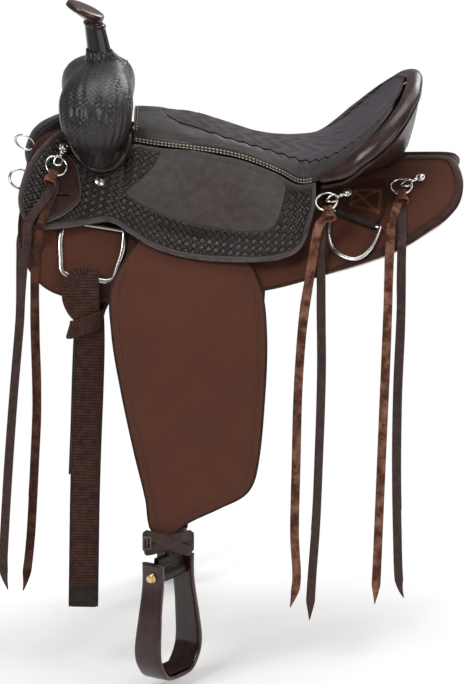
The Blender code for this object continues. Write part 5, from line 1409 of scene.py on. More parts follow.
@dataclass
class Jockey:
    """Stamped leather that hangs from the seat and lies round the fork, with its keeper and screw."""

    side: Side
    screw_at: tuple = (-0.144, 0.099)
    band: float = 0.0080
    smooth_area: tuple = ((-0.056, -0.004), (-0.057, 0.020), (-0.062, 0.045), (-0.073, 0.066),
                          (-0.087, 0.082), (-0.101, 0.095), (-0.108, 0.106), (-0.087, 0.117),
                          (-0.058, 0.126), (-0.015, 0.134), (0.028, 0.137), (0.071, 0.140), (0.096, 0.138),
                          (0.109, 0.129), (0.117, 0.109), (0.122, 0.078), (0.108, 0.057), (0.104, 0.024),
                          (0.100, 0.010), (0.020, -0.012))
    keeper: tuple = ((-0.194, 0.080), (-0.180, 0.087), (-0.172, 0.110), (-0.172, 0.137), (-0.187, 0.160),
                     (-0.205, 0.178), (-0.226, 0.190), (-0.229, 0.165), (-0.220, 0.135), (-0.208, 0.103))

    @staticmethod
    def top(x: Array) -> tuple[Array, Array]:
        """Arc length and height of the leather's upper line: the seat's edge, then the bar by the fork."""
        edge = through(SEAT_STATIONS[:, 2:], np.linspace(0.0, 7.2, 500))
        seat_front, bar_s, bar_height = -0.092, 0.100, 0.0374
        at = np.maximum(x, seat_front)
        y = np.interp(at, edge[:, 0], edge[:, 1]) + 0.002
        z = np.interp(at, edge[:, 0], edge[:, 2]) - Seat.edge_thick - 0.0012
        s, height = Back.unroll(at, y, z)
        behind = np.where(x > seat_front, 1.0, smooth((x + 0.120) / 0.028))
        return bar_s + (s - bar_s) * behind, bar_height + (height - bar_height) * behind

    @classmethod
    def height(cls, x: Array, s: Array) -> Array:
        """Height of the leather's outer face, which rises evenly from its lower part to its upper line."""
        lower = JOCKEY_LOW + 0.0080 * smooth((x + 0.175) / 0.045)
        top_s, top_height = cls.top(x)
        level_s = 0.150
        rise = np.clip((level_s - s) / np.maximum(level_s - top_s, 1e-4), 0.0, 1.0)
        return lower + np.maximum(top_height - lower, 0.0) * rise

    def outline(self) -> list:
        """Outline of the leather; behind the fork it runs on under the seat's front edge."""
        points = [(-0.194, 0.034), (-0.223, 0.074), (-0.247, 0.120), (-0.258, 0.159), (-0.260, 0.180),
                  (-0.255, 0.196), (-0.239, 0.205), (-0.201, 0.189), (-0.158, 0.166), (-0.127, 0.155),
                  (-0.101, 0.163), (-0.072, 0.174), (-0.022, 0.181), (0.056, 0.182), (0.100, 0.182),
                  (0.132, 0.176), (0.147, 0.164), (0.157, 0.140), (0.164, 0.120)]
        under_seat = (0.165, 0.140, 0.110, 0.070, 0.020, -0.040, -0.088)
        for x in under_seat:
            corner = (1,) if x in (under_seat[0], under_seat[-1]) else ()
            points.append((x, float(self.top(np.array(x))[0]) + 0.001, *corner))
        return points + [(-0.100, 0.030), (-0.110, 0.046), (-0.124, 0.064), (-0.140, 0.076), (-0.158, 0.080),
                         (-0.176, 0.068), (-0.186, 0.046)]

    def place(self, x: Array, s: Array, h: Array) -> Array:
        """Layer of this leather."""
        return Back.at(x, s, self.height(x, s) + h, self.side)

    @staticmethod
    def relief(x: Array, s: Array, away: Array) -> Array:
        """The edge band stands up a little where the stamping beside it is beaten down."""
        return -0.0005 * smooth((away - 0.0072) / 0.0016) * (1.0 - 0.5 * smooth((away - 0.010) / 0.006))

    def build(self) -> None:
        """Makes the leather, the keeper and the screw."""
        word = self.side.word
        panel = Panel(self.outline(), self.place, LEATHER, ((-0.225, 0.140), (0.130, 0.095)), 720, 44, 0.006,
                      self.relief, {"smooth": self.smooth_area})
        shell = panel.surface()
        shell.masks["stamp"] = np.minimum(shell.masks["edge"] - self.band, -shell.masks.pop("smooth"))
        add_piece("jockey_" + word, shell, JOCKEY_FINISH, "saddle", ["seat_jockey_" + word])
        leaf = Panel(self.keeper, lambda x, s, h: self.place(x, s, h + 0.0040), 0.0024,
                     ((-0.190, 0.100), (-0.212, 0.170)), 220, 12, 0.005).surface()
        leaf.masks["stamp"] = leaf.masks["edge"] - 0.0030
        add_piece("keeper_" + word, leaf, KEEPER_FINISH, "saddle", ["latigo_keeper_" + word])
        self.slit(word)
        x, s = self.screw_at
        out = Back.axes(x, s, 0.0425, self.side)[2]
        base = Back.at(x, s, float(self.height(np.array(x), np.array(s))) + 0.0012, self.side)
        head = ((0.0078, 0.0), (0.0080, 0.0008), (0.0076, 0.0020), (0.0066, 0.0026), (0.0060, 0.0022),
                (0.0054, 0.0022), (0.0048, 0.0030), (0.0034, 0.0033), (0.0026, 0.0029), (0.0016, 0.0032),
                (0.0006, 0.0034))
        add_piece("concho_" + word, lathe(base, out, head, 40), STEEL, "saddle", ["fork_screw_" + word])

    def slit(self, word: str) -> None:
        """The keeper's slot: a lighter lip round a near-black strip that is painted shade inside the cut."""
        x, s = np.linspace(-0.2155, -0.1875, 24), np.linspace(0.1502, 0.1382, 24)
        # The cut strip is painted shade: a near-black band where the slot opens.
        strips = (("lip", 0.0066, 0.0043, WELT_LEATHER), ("cut", 0.0030, 0.0052, SLOT_SHADE))
        for name, width, lift, finish in strips:
            line = self.place(x, s, lift)
            out = unit(self.place(x, s, 0.02) - self.place(x, s, 0.0))
            across = np.cross(unit(np.gradient(line, axis=0)), out)
            add_piece(f"keeper_{name}_{word}", sweep(line, across, band_profile(width, 0.0010, 3.0, 14),
                                                     size=tapered(24, 0.08, 0.4)), finish, "saddle")


@dataclass
class Fork:
    """Stamped cover of the fork, gathered into flutes over its lobes, and the welt at their feet."""

    x: float = -0.150
    half_length: float = 0.054
    half_width: float = 0.137
    power: float = 2.6
    stations: tuple = ((0.049, 0.048, 0.600, 0.036, 0.30), (0.053, 0.084, 0.775, 0.072, 0.52),
                       (0.055, 0.096, 0.930, 0.095, 0.72), (0.053, 0.108, 1.000, 0.121, 0.90),
                       (0.049, 0.118, 0.945, 0.149, 0.97), (0.042, 0.128, 0.770, 0.173, 0.98),
                       (0.029, 0.138, 0.505, 0.189, 0.88), (0.014, 0.144, 0.250, 0.197, 0.72),
                       (0.000, 0.146, 0.000, 0.203, 0.60))
    crown_shift: float = 0.011

    def at(self, t: Array, turn: Array, grown: Array | float = 0.0) -> Array:
        """Point of the cover: rounded squares whose ends follow the gullet and the outside of the fork."""
        t, turn, grown = np.broadcast_arrays(np.asarray(t, float), turn, grown)
        y_in, z_in, share, z_out, half = np.moveaxis(through(self.stations, 8.0 - np.abs(t)), -1, 0)
        sign = np.where(t < 0, -1.0, 1.0)
        inner = np.stack([np.zeros_like(y_in), sign * y_in, z_in], axis=-1)
        outer = np.stack([np.zeros_like(y_in), sign * share * self.half_width, z_out], axis=-1)
        radial = (outer - inner) / 2
        reach = np.linalg.norm(radial, axis=-1, keepdims=True)
        radial /= reach
        c, d = signed_power(np.cos(turn), 2 / self.power), signed_power(np.sin(turn), 2 / self.power)
        point = (inner + outer) / 2 + radial * (reach + grown[..., None]) * d[..., None]
        middle = self.x + self.crown_shift * (1.0 - share) ** 2
        point[..., 0] += middle + (self.half_length * half + grown) * c
        return point

    def build(self) -> None:
        """Makes the cover, the welts and the toothed collar round the horn."""
        t = np.linspace(-7.6, 7.6, 260)
        grid_t, grid_turn = np.meshgrid(t, turns(150), indexing="ij")
        lobe = smooth((np.abs(grid_t) - 2.2) / 1.2) * (1.0 - smooth((np.abs(grid_t) - 6.0) / 0.9))
        facing = smooth((np.sin(grid_turn) - 0.1) / 0.4)
        flute = -0.0016 * lobe * facing * np.abs(np.sin(grid_turn * 11.0)) ** 3
        points = self.at(grid_t, grid_turn, flute)
        rounds = np.linalg.norm(np.diff(np.concatenate([points, points[:, :1]], axis=1), axis=1), axis=-1)
        gone_turn = np.concatenate([np.zeros((len(t), 1)), np.cumsum(rounds, axis=1)], axis=1)
        gone_t = run_along(self.at(t, np.full(len(t), math.pi / 2)))
        front = 38
        across = gone_turn - gone_turn[:, front:front + 1]
        flat = np.stack(np.broadcast_arrays(across, gone_t[:, None]), axis=-1)
        add_piece("fork_leather", tube(points, flat), FORK_FINISH, "saddle", ["fork_cover"])
        for side in Side:
            self.welt(side)
        self.collar()

    def welt(self, side: Side) -> None:
        """Smooth welt laid round the lobe's foot."""
        line = [(-0.190, 0.036), (-0.186, 0.056), (-0.178, 0.070), (-0.166, 0.079), (-0.150, 0.083),
                (-0.136, 0.079), (-0.122, 0.068), (-0.112, 0.050), (-0.105, 0.030), (-0.101, 0.012)]
        path = line_through(line, 200, 110)
        x, s = path[:, 0], path[:, 1]
        points = Back.at(x, s, Jockey.height(x, s) + 0.0022, side)
        out = unit(Back.at(x, s, 0.06, side) - Back.at(x, s, 0.02, side))
        across = np.cross(unit(np.gradient(points, axis=0)), out)
        add_piece("fork_welt_" + side.word,
                  sweep(points, across, band_profile(0.0105, 0.0062, 2.2, 20), size=tapered(110, 0.04, 0.3)),
                  WELT_LEATHER, "saddle")

    def collar(self) -> None:
        """Stamped leather drawn up round the horn's foot from the crown, its upper edge cut into teeth."""
        count = 144
        turn = turns(count)
        tooth = 2.0 * np.abs((turn * 16 / (2 * math.pi)) % 1.0 - 0.5)
        top = Horn.ring(0.40, 0.0192, count)
        top[:, 2] += 0.0035 * tooth
        foot = np.array([-0.1370, 0.0, 0.1935])
        c, d = np.cos(turn), np.sin(turn)
        low = foot + np.stack([0.0320 * c, 0.0460 * d, -0.0135 * d**2], axis=1)
        shares = np.linspace(0.0, 1.0, 16)
        rows = [low + (top - low) * k - UP * 0.0065 * math.sin(math.pi * k) for k in shares]
        inner = [top + (np.array([-0.1475, 0.0, 0.2100]) - top) * 0.12, low + (foot - low) * 0.12]
        points = np.array(rows + inner)
        far = np.broadcast_to((shares * 0.040)[:, None], (16, count + 1))
        gone = np.broadcast_to(np.linspace(0.0, 0.17, count + 1)[None], (16, count + 1))
        flat = np.stack([gone, far], axis=-1)
        flat = np.concatenate([flat, flat[-1:], flat[:1], flat[:1]])
        add_piece("horn_collar", Surface(points, True, flat), FORK_FINISH, "saddle")


@dataclass
class Horn:
    """Wrap of the horn's neck and the leather over its cap."""

    foot: tuple = (-0.1415, 0.0, 0.1800)
    neck: tuple = (-0.1535, 0.0, 0.2505)
    cap: tuple = (-0.166, 0.0, 0.2690)
    tilt: float = math.radians(24.0)
    radius: float = 0.029

    @staticmethod
    def tilted(centre: Array, radius: Array | float, tilt: float, count: int = 48) -> Array:
        """Circle tipped back about Y."""
        turn = turns(count)
        x = radius * np.cos(turn)
        circle = np.stack([x * math.cos(tilt), radius * np.sin(turn), -x * math.sin(tilt)], axis=1)
        return np.asarray(centre) + circle

    @classmethod
    def ring(cls, share: float, radius: Array | float, count: int = 48) -> Array:
        """Circle round the neck, a share of the way up it."""
        centre = np.array(cls.foot) + (np.array(cls.neck) - np.array(cls.foot)) * share
        return cls.tilted(centre, radius, cls.tilt * 0.4 * share, count)

    def build(self) -> None:
        """Makes the wrap, its top band and the cap."""
        shares = np.linspace(0.22, 0.99, 60)
        radii = 0.0129 + 0.0060 + (0.0016 - 0.0060) * shares
        radii = radii + 0.0016 * smooth((shares - 0.90) / 0.05) + 0.004 * smooth((0.36 - shares) / 0.14)
        fold = 0.0004 * np.sin(turns(48) * 7.0)
        rings = np.array([self.ring(k, r + fold) for k, r in zip(shares, radii)])
        flat = np.stack(np.meshgrid(np.linspace(0.0, 0.09, 49), shares * 0.072), axis=-1)
        add_piece("horn_neck_wrap", tube(rings, flat), HORN_LEATHER, "saddle", ["horn_wrap"])
        cap, lip = np.array(self.cap), np.array([math.sin(self.tilt), 0.0, math.cos(self.tilt)])
        r = self.radius
        centres = ((-0.1539, 0.0, 0.2517, 0.0140, 0.6), (-0.1604, 0.0, 0.2577, 0.0209, 0.9),
                   (*(cap - lip * 0.0045), 0.0278, 1.0), (*(cap - lip * 0.0010), r, 1.0),
                   (*(cap + lip * 0.0014), r * 0.996, 1.0), (*(cap + lip * 0.0029), r * 0.950, 1.0),
                   (*(cap + lip * 0.0040), r * 0.78, 1.0), (*(cap + lip * 0.0046), r * 0.45, 1.0),
                   (*(cap + lip * 0.0048), r * 0.15, 1.0))
        fine = through(np.array(centres), np.linspace(0, len(centres) - 1, 60))
        rings = [self.tilted(row[:3], row[3], self.tilt * row[4], 72) for row in fine]
        add_piece("horn_cap_leather", tube(np.array(rings)), CAP_LEATHER, "saddle", ["horn_cap"])
        seam = torus(cap - lip * 0.0022, lip, r * 0.990, 0.0009, 96)
        add_piece("horn_cap_seam", seam, DARK_LEATHER, "saddle")


@dataclass
class Cantle:
    """Rolled rim of the cantle, its stamped back and the piping between them."""

    roll_inner: tuple = ((0.166, 0.133, 0.0530), (0.1955, 0.1405, 0.0740), (0.217, 0.145, 0.0910),
                         (0.238, 0.142, 0.1080), (0.260, 0.130, 0.1270), (0.280, 0.100, 0.1465),
                         (0.292, 0.055, 0.1610), (0.298, 0.000, 0.1700))
    roll_outer: tuple = ((0.174, 0.141, 0.0460), (0.209, 0.160, 0.0590), (0.238, 0.163, 0.0820),
                         (0.267, 0.154, 0.1040), (0.289, 0.134, 0.1280), (0.306, 0.100, 0.1500),
                         (0.317, 0.055, 0.1640), (0.320, 0.000, 0.1690))
    foot: tuple = ((0.176, 0.066), (0.186, 0.062), (0.201, 0.055), (0.222, 0.051), (0.247, 0.047),
                   (0.268, 0.038), (0.286, 0.024), (0.299, -0.0087))

    @staticmethod
    def rim(line: Sequence, t: Array) -> Array:
        """Point of one of the rim's lines; the sign of t is the side."""
        point = through(line, 7.0 - np.abs(t))
        point[..., 1] *= np.where(t < 0, -1.0, 1.0)
        return point

    def back_grid(self, t: Array, rows: int) -> Array:
        """Points over the back: a parabola from its foot to under the roll, at each t."""
        outer, inner = self.rim(self.roll_outer, t), self.rim(self.roll_inner, t)
        top = outer - unit(outer - inner) * 0.003 - UP * 0.0098
        x, s = np.moveaxis(through(self.foot, 7.0 - np.abs(t)), -1, 0)
        foot = Back.at(x, s, 0.0240, Side.FAR)
        near_middle = 0.35
        foot[..., 1] *= np.where(t < 0, -1.0, 1.0)
        foot[..., 1] = np.where(np.abs(t) < near_middle, foot[..., 1] * np.abs(t) / near_middle, foot[..., 1])
        belly = (top + foot) / 2 + ALONG * 0.006
        f = np.linspace(0.0, 1.0, rows)[None, :, None]
        return foot[:, None] * (1 - f) ** 2 + belly[:, None] * (2 * f * (1 - f)) + top[:, None] * f**2

    def build(self) -> None:
        """Makes the roll, the back and the piping."""
        t = np.linspace(-7.0, 7.0, 220)
        inner, outer = self.rim(self.roll_inner, t), self.rim(self.roll_outer, t)
        ahead = unit(self.rim(self.roll_inner, t + 0.1) - self.rim(self.roll_inner, t - 0.1))
        wide = (outer - inner) / 2
        thick = unit(np.cross(ahead, wide)) * 0.0080
        taper = (0.55 + 0.45 * smooth((7.0 - np.abs(t)) / 2.0))[:, None, None]
        turn = turns(40)[None, :, None]
        fold = 1.0 + 0.030 * np.sin(t * 5.0)[:, None, None] * np.sin(3 * turn + t[:, None, None])
        rings = ((inner + outer) / 2)[:, None] + (wide[:, None] * np.cos(turn)
                                                  + thick[:, None] * np.sin(turn) * taper) * fold
        roll = add_piece("cantle_rim", tube(rings), ROLL_LEATHER, "saddle", ["cantle_roll"])
        self.back(t)

    def back(self, t: Array) -> None:
        """The stamped back, a shell between two grids, and the piping along its upper edge."""
        front = self.back_grid(t, 36)
        along, up = np.gradient(front, axis=0), np.gradient(front, axis=1)
        normal = unit(np.cross(along, up))
        normal *= np.sign(normal[..., :1] + 1e-9)
        rear = front - normal * 0.0035
        points = np.concatenate([front, rear[:, ::-1]], axis=1)
        gone = run_along(front[:, 18])
        steps = np.linalg.norm(np.diff(front, axis=1), axis=-1)
        high = np.cumsum(np.concatenate([np.zeros((len(t), 1)), steps], axis=1), axis=1)
        both = np.concatenate([high, high[:, ::-1], high[:, :1]], axis=1)
        flat = np.stack(np.broadcast_arrays(gone[:, None], both), axis=-1)
        away = np.minimum(both, high[:, -1:] - both)[:, :-1]
        add_piece("cantle_leather", tube(points, flat, stamp=away - 0.0070, edge=away), CANTLE_FINISH,
                  "saddle", ["cantle_back"])
        seam = front[:, -1] + normal[:, -1] * 0.0010 + UP * 0.0012
        piping = sweep(even(seam, 240), UP, round_profile(0.0013, 10), size=tapered(240, 0.01))
        add_piece("cantle_piping", piping, WELT_LEATHER, "saddle")


@dataclass
class FenderGroup:
    """Fender, stirrup leather and hobble strap, which swing together."""

    side: Side
    outline: tuple = ((-0.085, -0.030, 1), (-0.127, 0.050), (-0.127, 0.118), (-0.114, 0.199), (-0.096, 0.286),
                      (-0.079, 0.358), (-0.073, 0.398), (-0.058, 0.416), (-0.040, 0.411), (-0.018, 0.393),
                      (0.028, 0.371), (0.066, 0.350), (0.081, 0.318), (0.092, 0.215), (0.095, 0.120),
                      (0.086, 0.045), (0.050, -0.030, 1))

    def place(self, x: Array, u: Array, h: Array) -> Array:
        """Layer of the fender."""
        return Hang.at(x, u, 0.002 + h, self.side)

    def place_behind(self, x: Array, u: Array, h: Array) -> Array:
        """Layer of the stirrup leather behind the fender."""
        return Hang.at(x, u, 0.00175 - 0.00555 + h, self.side)

    @staticmethod
    def relief(x: Array, u: Array, away: Array) -> Array:
        """Slow waves in the cloth and a hollow along its two rows of stitches."""
        slack = 0.0008 * np.sin(24 * x + 3.0 * np.sin(9 * u)) * smooth(away / 0.03)
        return slack - 0.0005 * np.exp(-((away - 0.0125) / 0.002) ** 2)

    def build(self) -> None:
        """Makes the fender with its edge and stitches, the leather behind it and the hobble strap."""
        word, body = self.side.word, "fender_group_" + self.side.word
        fender = Panel(self.outline, self.place, 0.004, ((-0.020, 0.060), (-0.030, 0.330)), 620, 26,
                       relief=self.relief)
        add_piece("fender_cloth_" + word, fender.surface(), CORDURA, body, ["fender_" + word])
        add_piece("fender_binding_" + word, fender.binding(lambda a: np.full_like(a, 0.0030), 0.0007),
                  DARK_LEATHER, body)
        out = np.array([0.0, self.side.sign * 0.95, 0.3])
        rows = []
        for inset in (0.0100, 0.0135):
            line = fender.line_at(inset, 0.0002, 900)
            bare = line[:, 2] >= Hang.at(-0.03, 0.02, 0.0, self.side)[2]
            start = int(np.argmax(bare))
            line, bare = np.roll(line, -start, 0), np.roll(bare, -start)
            rows.append(stitch_row(line[~bare], out, 0.0032, 0.0014, 0.0005))
        add_piece("fender_stitches_" + word, stitches(rows), DARK_THREAD, body)
        strap = ((-0.065, -0.083, 1), (0.005, -0.083, 1), (-0.018, 0.400, 1), (-0.074, 0.400, 1))
        leather = Panel(strap, self.place_behind, 0.0035, ((-0.030, -0.060), (-0.045, 0.380)), 400, 8, 0.006)
        add_piece("leather_strap_" + word, leather.surface(), DARK_LEATHER, body, ["stirrup_leather_" + word])
        self.hobble(word, body)

    def hobble(self, word: str, body: str) -> None:
        """Strap round the neck of the fender, its buckle and the crossed folds on its front."""
        middle = Hang.at(Hang.NECK_X, Hang.NECK_U - 0.017, -0.003, self.side)
        down = unit(Hang.at(Hang.NECK_X, Hang.NECK_U, 0.0, self.side)
                    - Hang.at(Hang.NECK_X, Hang.NECK_U - 0.034, 0.0, self.side))
        deep = unit(np.cross(ALONG, down))
        outwards = deep * np.sign(deep[1] * self.side.sign)
        turn = turns(96)
        u = 0.0355 * signed_power(np.cos(turn), 0.4)
        v = 0.0095 * signed_power(np.sin(turn), 0.5)
        loop = even(middle + u[:, None] * ALONG + v[:, None] * deep, 120, closed=True)
        add_piece("hobble_loop_" + word, sweep(loop, down, band_profile(0.026, 0.003, 6.0), closed=True),
                  HOBBLE_LEATHER, body, ["hobble_strap_" + word])
        front = middle + outwards * 0.0122
        crossed = []
        f = np.linspace(-1.0, 1.0, 30)[:, None]
        for tip, lift in ((1.0, 0.0022), (-1.0, 0.0010)):
            path = front + ALONG * 0.034 * f + down * (0.0115 * tip * np.sin(f * 1.4))
            path = path + outwards * (lift - 0.0050 * np.abs(f) ** 6)
            crossed.append(sweep(path, down, band_profile(0.0155, 0.0026, 5.0), size=tapered(30, 0.03, 0.7)))
        add_piece("hobble_cross_" + word, joined(crossed), HOBBLE_LEATHER, body)
        add_piece("hobble_buckle_" + word, self.buckle(front - ALONG * 0.030 + outwards * 0.0030, down, deep),
                  BUCKLE_METAL, body)

    @staticmethod
    def buckle(at: Array, down: Array, deep: Array) -> bpy.types.Mesh:
        """Square buckle: its frame, bar and prong, round a point."""
        half_wide, half_high = 0.0050, 0.0085
        corners = [(a * half_wide, b * half_high, 1) for a, b in ((-1, -1), (1, -1), (1, 1), (-1, 1))]
        line = outline_curve(corners, 60)
        path = even(at + line[:, :1] * ALONG + line[:, 1:] * down, 60, closed=True)
        bar = tube_along([at - down * 0.0075, at, at + down * 0.0075], 0.0010, 12)
        prong = tube_along([at - ALONG * 0.0005, at + ALONG * 0.003, at + ALONG * 0.0060], 0.0009, 12)
        return joined([sweep(path, deep, round_profile(0.0015, 12), closed=True), bar, prong])


@dataclass
class StirrupGroup:
    """Bell stirrup with its leather loop and brass bolt."""

    side: Side
    turn: float
    top: float = 0.042
    half: float = 0.0555
    drop: float = 0.155
    wall: float = 0.008
    band: float = 0.045

    def build(self) -> None:
        """Makes the stirrup, its tread, the loop that it hangs from and the bolt."""
        word, side = self.side.word, self.side
        hanger = Hang.at(Hang.NECK_X, Hang.NECK_U, -0.003, side)
        bolt = hanger - UP * 0.027
        axle = np.array([math.cos(self.turn), -side.sign * math.sin(self.turn), 0.0])
        facing = np.cross(UP, axle)
        w = self.wall / 2
        mid = self.top + (self.half - self.top) * 0.62
        right = [(self.top - w, -0.020), (self.top - w, 0.012), (mid - w, 0.062), (self.half - w, 0.112),
                 (self.half - 0.012 - w * 0.8, self.drop - 0.014 - w * 0.6),
                 (self.half - 0.034, self.drop - w)]
        flat = line_through(right + [(-u, v) for u, v in reversed(right)], 400, 150)
        path = bolt + flat[:, :1] * axle - flat[:, 1:] * UP
        shell = sweep(path, facing, band_profile(self.band, self.wall, 7.0, 44))
        away = (shell.points[1:-1] - path[:, None]) @ facing
        width = 0.80 + 0.20 * smooth((flat[:, 1] - 0.02) / 0.10)
        shell.points[1:-1] -= facing * (away * (1.0 - width[:, None]))[..., None]
        edge = np.abs(np.abs(away) - self.band / 2)
        shell.masks["edge"] = np.concatenate([edge[:1], edge, edge[-1:]])
        body = "stirrup_body_" + word
        add_piece("stirrup_bell_" + word, shell, LACQUER, body, ["stirrup_" + word])
        tread = bolt - UP * (self.drop - self.wall - 0.0022)
        pad = sweep(tread + np.linspace(-0.026, 0.026, 30)[:, None] * axle, facing,
                    band_profile(self.band * 0.86, 0.0024, 8.0, 40), size=tapered(30, 0.05, 0.8))
        add_piece("stirrup_tread_" + word, pad, WEBBING, body)
        self.hanger_pieces(word, hanger, bolt, axle, facing)

    def hanger_pieces(self, word: str, hanger: Array, bolt: Array, axle: Array, facing: Array) -> None:
        """Loop round the bolt, the folded leather above it and the bolt with its washers."""
        body = "stirrup_hanger_" + word
        turn = np.radians(np.linspace(-62.0, 242.0, 40))
        circle = 0.0100 * np.stack([np.cos(turn), np.sin(turn)], axis=1)
        stem = np.array([(0.0035, -0.0250), (0.0038, -0.0190), (0.0048, -0.0130)])
        line = np.concatenate([stem, circle, stem[::-1] * np.array([-1.0, 1.0])])
        path = even(bolt + line[:, :1] * facing - line[:, 1:] * UP, 90)
        loop = sweep(path, axle, band_profile(0.060, 0.0036, 7.0, 40))
        stub = lathe(hanger - UP * 0.008, UP, ((0.0050, 0.0), (0.0065, 0.002), (0.0065, 0.018),
                                               (0.0055, 0.021)), 24)
        add_piece("stirrup_eye_" + word, joined([loop, stub]), DARK_LEATHER, body, ["stirrup_loop_" + word])
        end = self.top + 0.0004
        head = ((0.0046, -0.0052), (0.0060, -0.0046), (0.0066, -0.0030), (0.0068, -0.0012), (0.0078, -0.0011),
                (0.0078, -0.0001), (0.0040, 0.0))
        nut = ((0.0040, 0.0), (0.0078, 0.0001), (0.0078, 0.0011), (0.0068, 0.0012), (0.0066, 0.0036),
               (0.0042, 0.0038), (0.0040, 0.0052), (0.0030, 0.0060))
        profile = [(r, h - end) for r, h in head] + [(r, h + end) for r, h in nut]
        add_piece("stirrup_pin_" + word, lathe(bolt, axle, profile, 28), BRASS, body,
                  ["stirrup_bolt_" + word])


@dataclass
class TieStrap:
    """Webbing knotted to the front dee: the long tie strap, or the shorter off billet."""

    side: Side
    length: float
    width: float = 0.042
    thick: float = 0.003
    holes: tuple = (-0.211, -0.278, -0.340, -0.407)

    def tail(self, front: Array) -> Array:
        """Line of the hanging tail."""
        below = np.array([(0.002, 0.000, -0.046), (0.003, 0.001, -0.070), (0.003, 0.004, -0.110),
                          (0.001, 0.008, -0.170), (-0.002, 0.010, -0.240), (-0.005, 0.011, -0.330),
                          (-0.008, 0.011, -self.length)])
        points = front + below * np.array([1.0, self.side.sign, 1.0])
        if self.side is Side.FAR:
            points[:, 0] = spread_far(points[:, 0], points[:, 2])
        return line_through(points, 300, 130)

    def build(self) -> None:
        """Makes the tail with its edges, end and holes, and the four bands of the knot; each hole is a dark
        plug that paints the shade in it.
        """
        side = self.side
        pivot, _, reach = Rigging.dee_frame(side, *FRONT_DEE)
        foot = pivot + reach * 0.077
        name, node = ("tie", "tie_strap") if side is Side.NEAR else ("billet", "off_billet")
        body = f"{node}_body_{side.word}"
        line = self.tail(foot + np.array([0.0, side.sign * 0.0115, 0.0]))
        tail = sweep(line, ALONG, band_profile(self.width, self.thick, 7.0, 40),
                     size=tapered(130, 0.012, 0.75))
        piece = add_piece(name + "_tail", tail, WEBBING, body, [f"{node}_{side.word}"])
        rim, size = band_profile(0.0026, 0.0038, 3.0, 14), tapered(130, 0.01, 0.6)
        half = self.width / 2 - 0.0008
        edges = [sweep(line + ALONG * half * end, ALONG, rim, size=size) for end in (-1.0, 1.0)]
        low = line[line[:, 2] < line[-1, 2] + 0.034]
        edges.append(sweep(low, ALONG, band_profile(self.width * 0.985, 0.0038, 7.0, 36),
                           size=tapered(len(low), 0.1, 0.9)))
        # Each hole is a short dark leather plug standing in the strap: painted shade where the strap is
        # pierced.
        for z in self.holes if side is Side.NEAR else self.holes[:3]:
            spot = line[int(np.argmin(np.abs(line[:, 2] - z)))]
            edges.append(lathe(spot - np.array([0.0, 0.0021, 0.0]), (0.0, 1.0, 0.0),
                               ((0.0030, 0.0), (0.0034, 0.0004), (0.0034, 0.0038), (0.0030, 0.0042)), 20))
        add_piece(name + "_edges", joined(edges), DARK_LEATHER, body)
        self.knot(name, body, foot)

    def knot(self, name: str, body: str, foot: Array) -> None:
        """Bands of the knot: down the middle, over the dee's bar at the left, across below and behind."""
        bands = (
            ("middle", 0.036, ((0.001, 0.0135, -0.082), (0.000, 0.0185, -0.050), (-0.001, 0.0175, -0.015),
                               (-0.001, 0.0095, 0.0065), (-0.001, 0.000, 0.0085), (-0.001, -0.0045, 0.002))),
            ("left", 0.022, ((0.000, 0.0105, 0.0060), (-0.015, 0.0150, 0.0035), (-0.0245, 0.0175, -0.0120),
                             (-0.0240, 0.0178, -0.0320), (-0.0145, 0.0170, -0.0500),
                             (0.001, 0.0150, -0.0600))),
            ("cross", 0.025, ((0.016, 0.001, -0.052), (0.0220, 0.006, -0.054), (0.020, 0.0185, -0.057),
                              (0.005, 0.0235, -0.063), (-0.013, 0.0225, -0.070), (-0.0245, 0.016, -0.0755),
                              (-0.0260, 0.005, -0.077), (-0.020, 0.001, -0.076))),
            ("back", 0.030, ((0.024, -0.001, -0.006), (0.018, 0.0045, -0.030), (0.008, 0.006, -0.052))))
        for part, width, points in bands:
            known = np.array(points) * np.array([1.0, self.side.sign, 1.0]) + foot
            path = line_through(known, 200, 60)
            across = np.array([0.28, 0.0, 0.96]) if part == "cross" else ALONG
            if part == "left":
                across = unit(np.cross(np.gradient(path, axis=0), np.array([0.0, 1.0, 0.0])))
            band = sweep(path, across, band_profile(width, 0.0032, 7.0, 32), size=tapered(60, 0.02, 0.8))
            add_piece(f"{name}_knot_{part}", band, WEBBING, body)


def spread_far(x: Array, z: Array) -> Array:
    """X of a far hanging piece, a little further from the saddle's middle than the near one."""
    return 0.046 + (x - 0.046) * (1.0 + 0.045 * smooth(-z / 0.15))


def x_on_tail(hanging: Array, z: Array) -> Array:
    """X of a hanging tail at a height."""
    return np.interp(-z, -hanging[:, 2], hanging[:, 0])


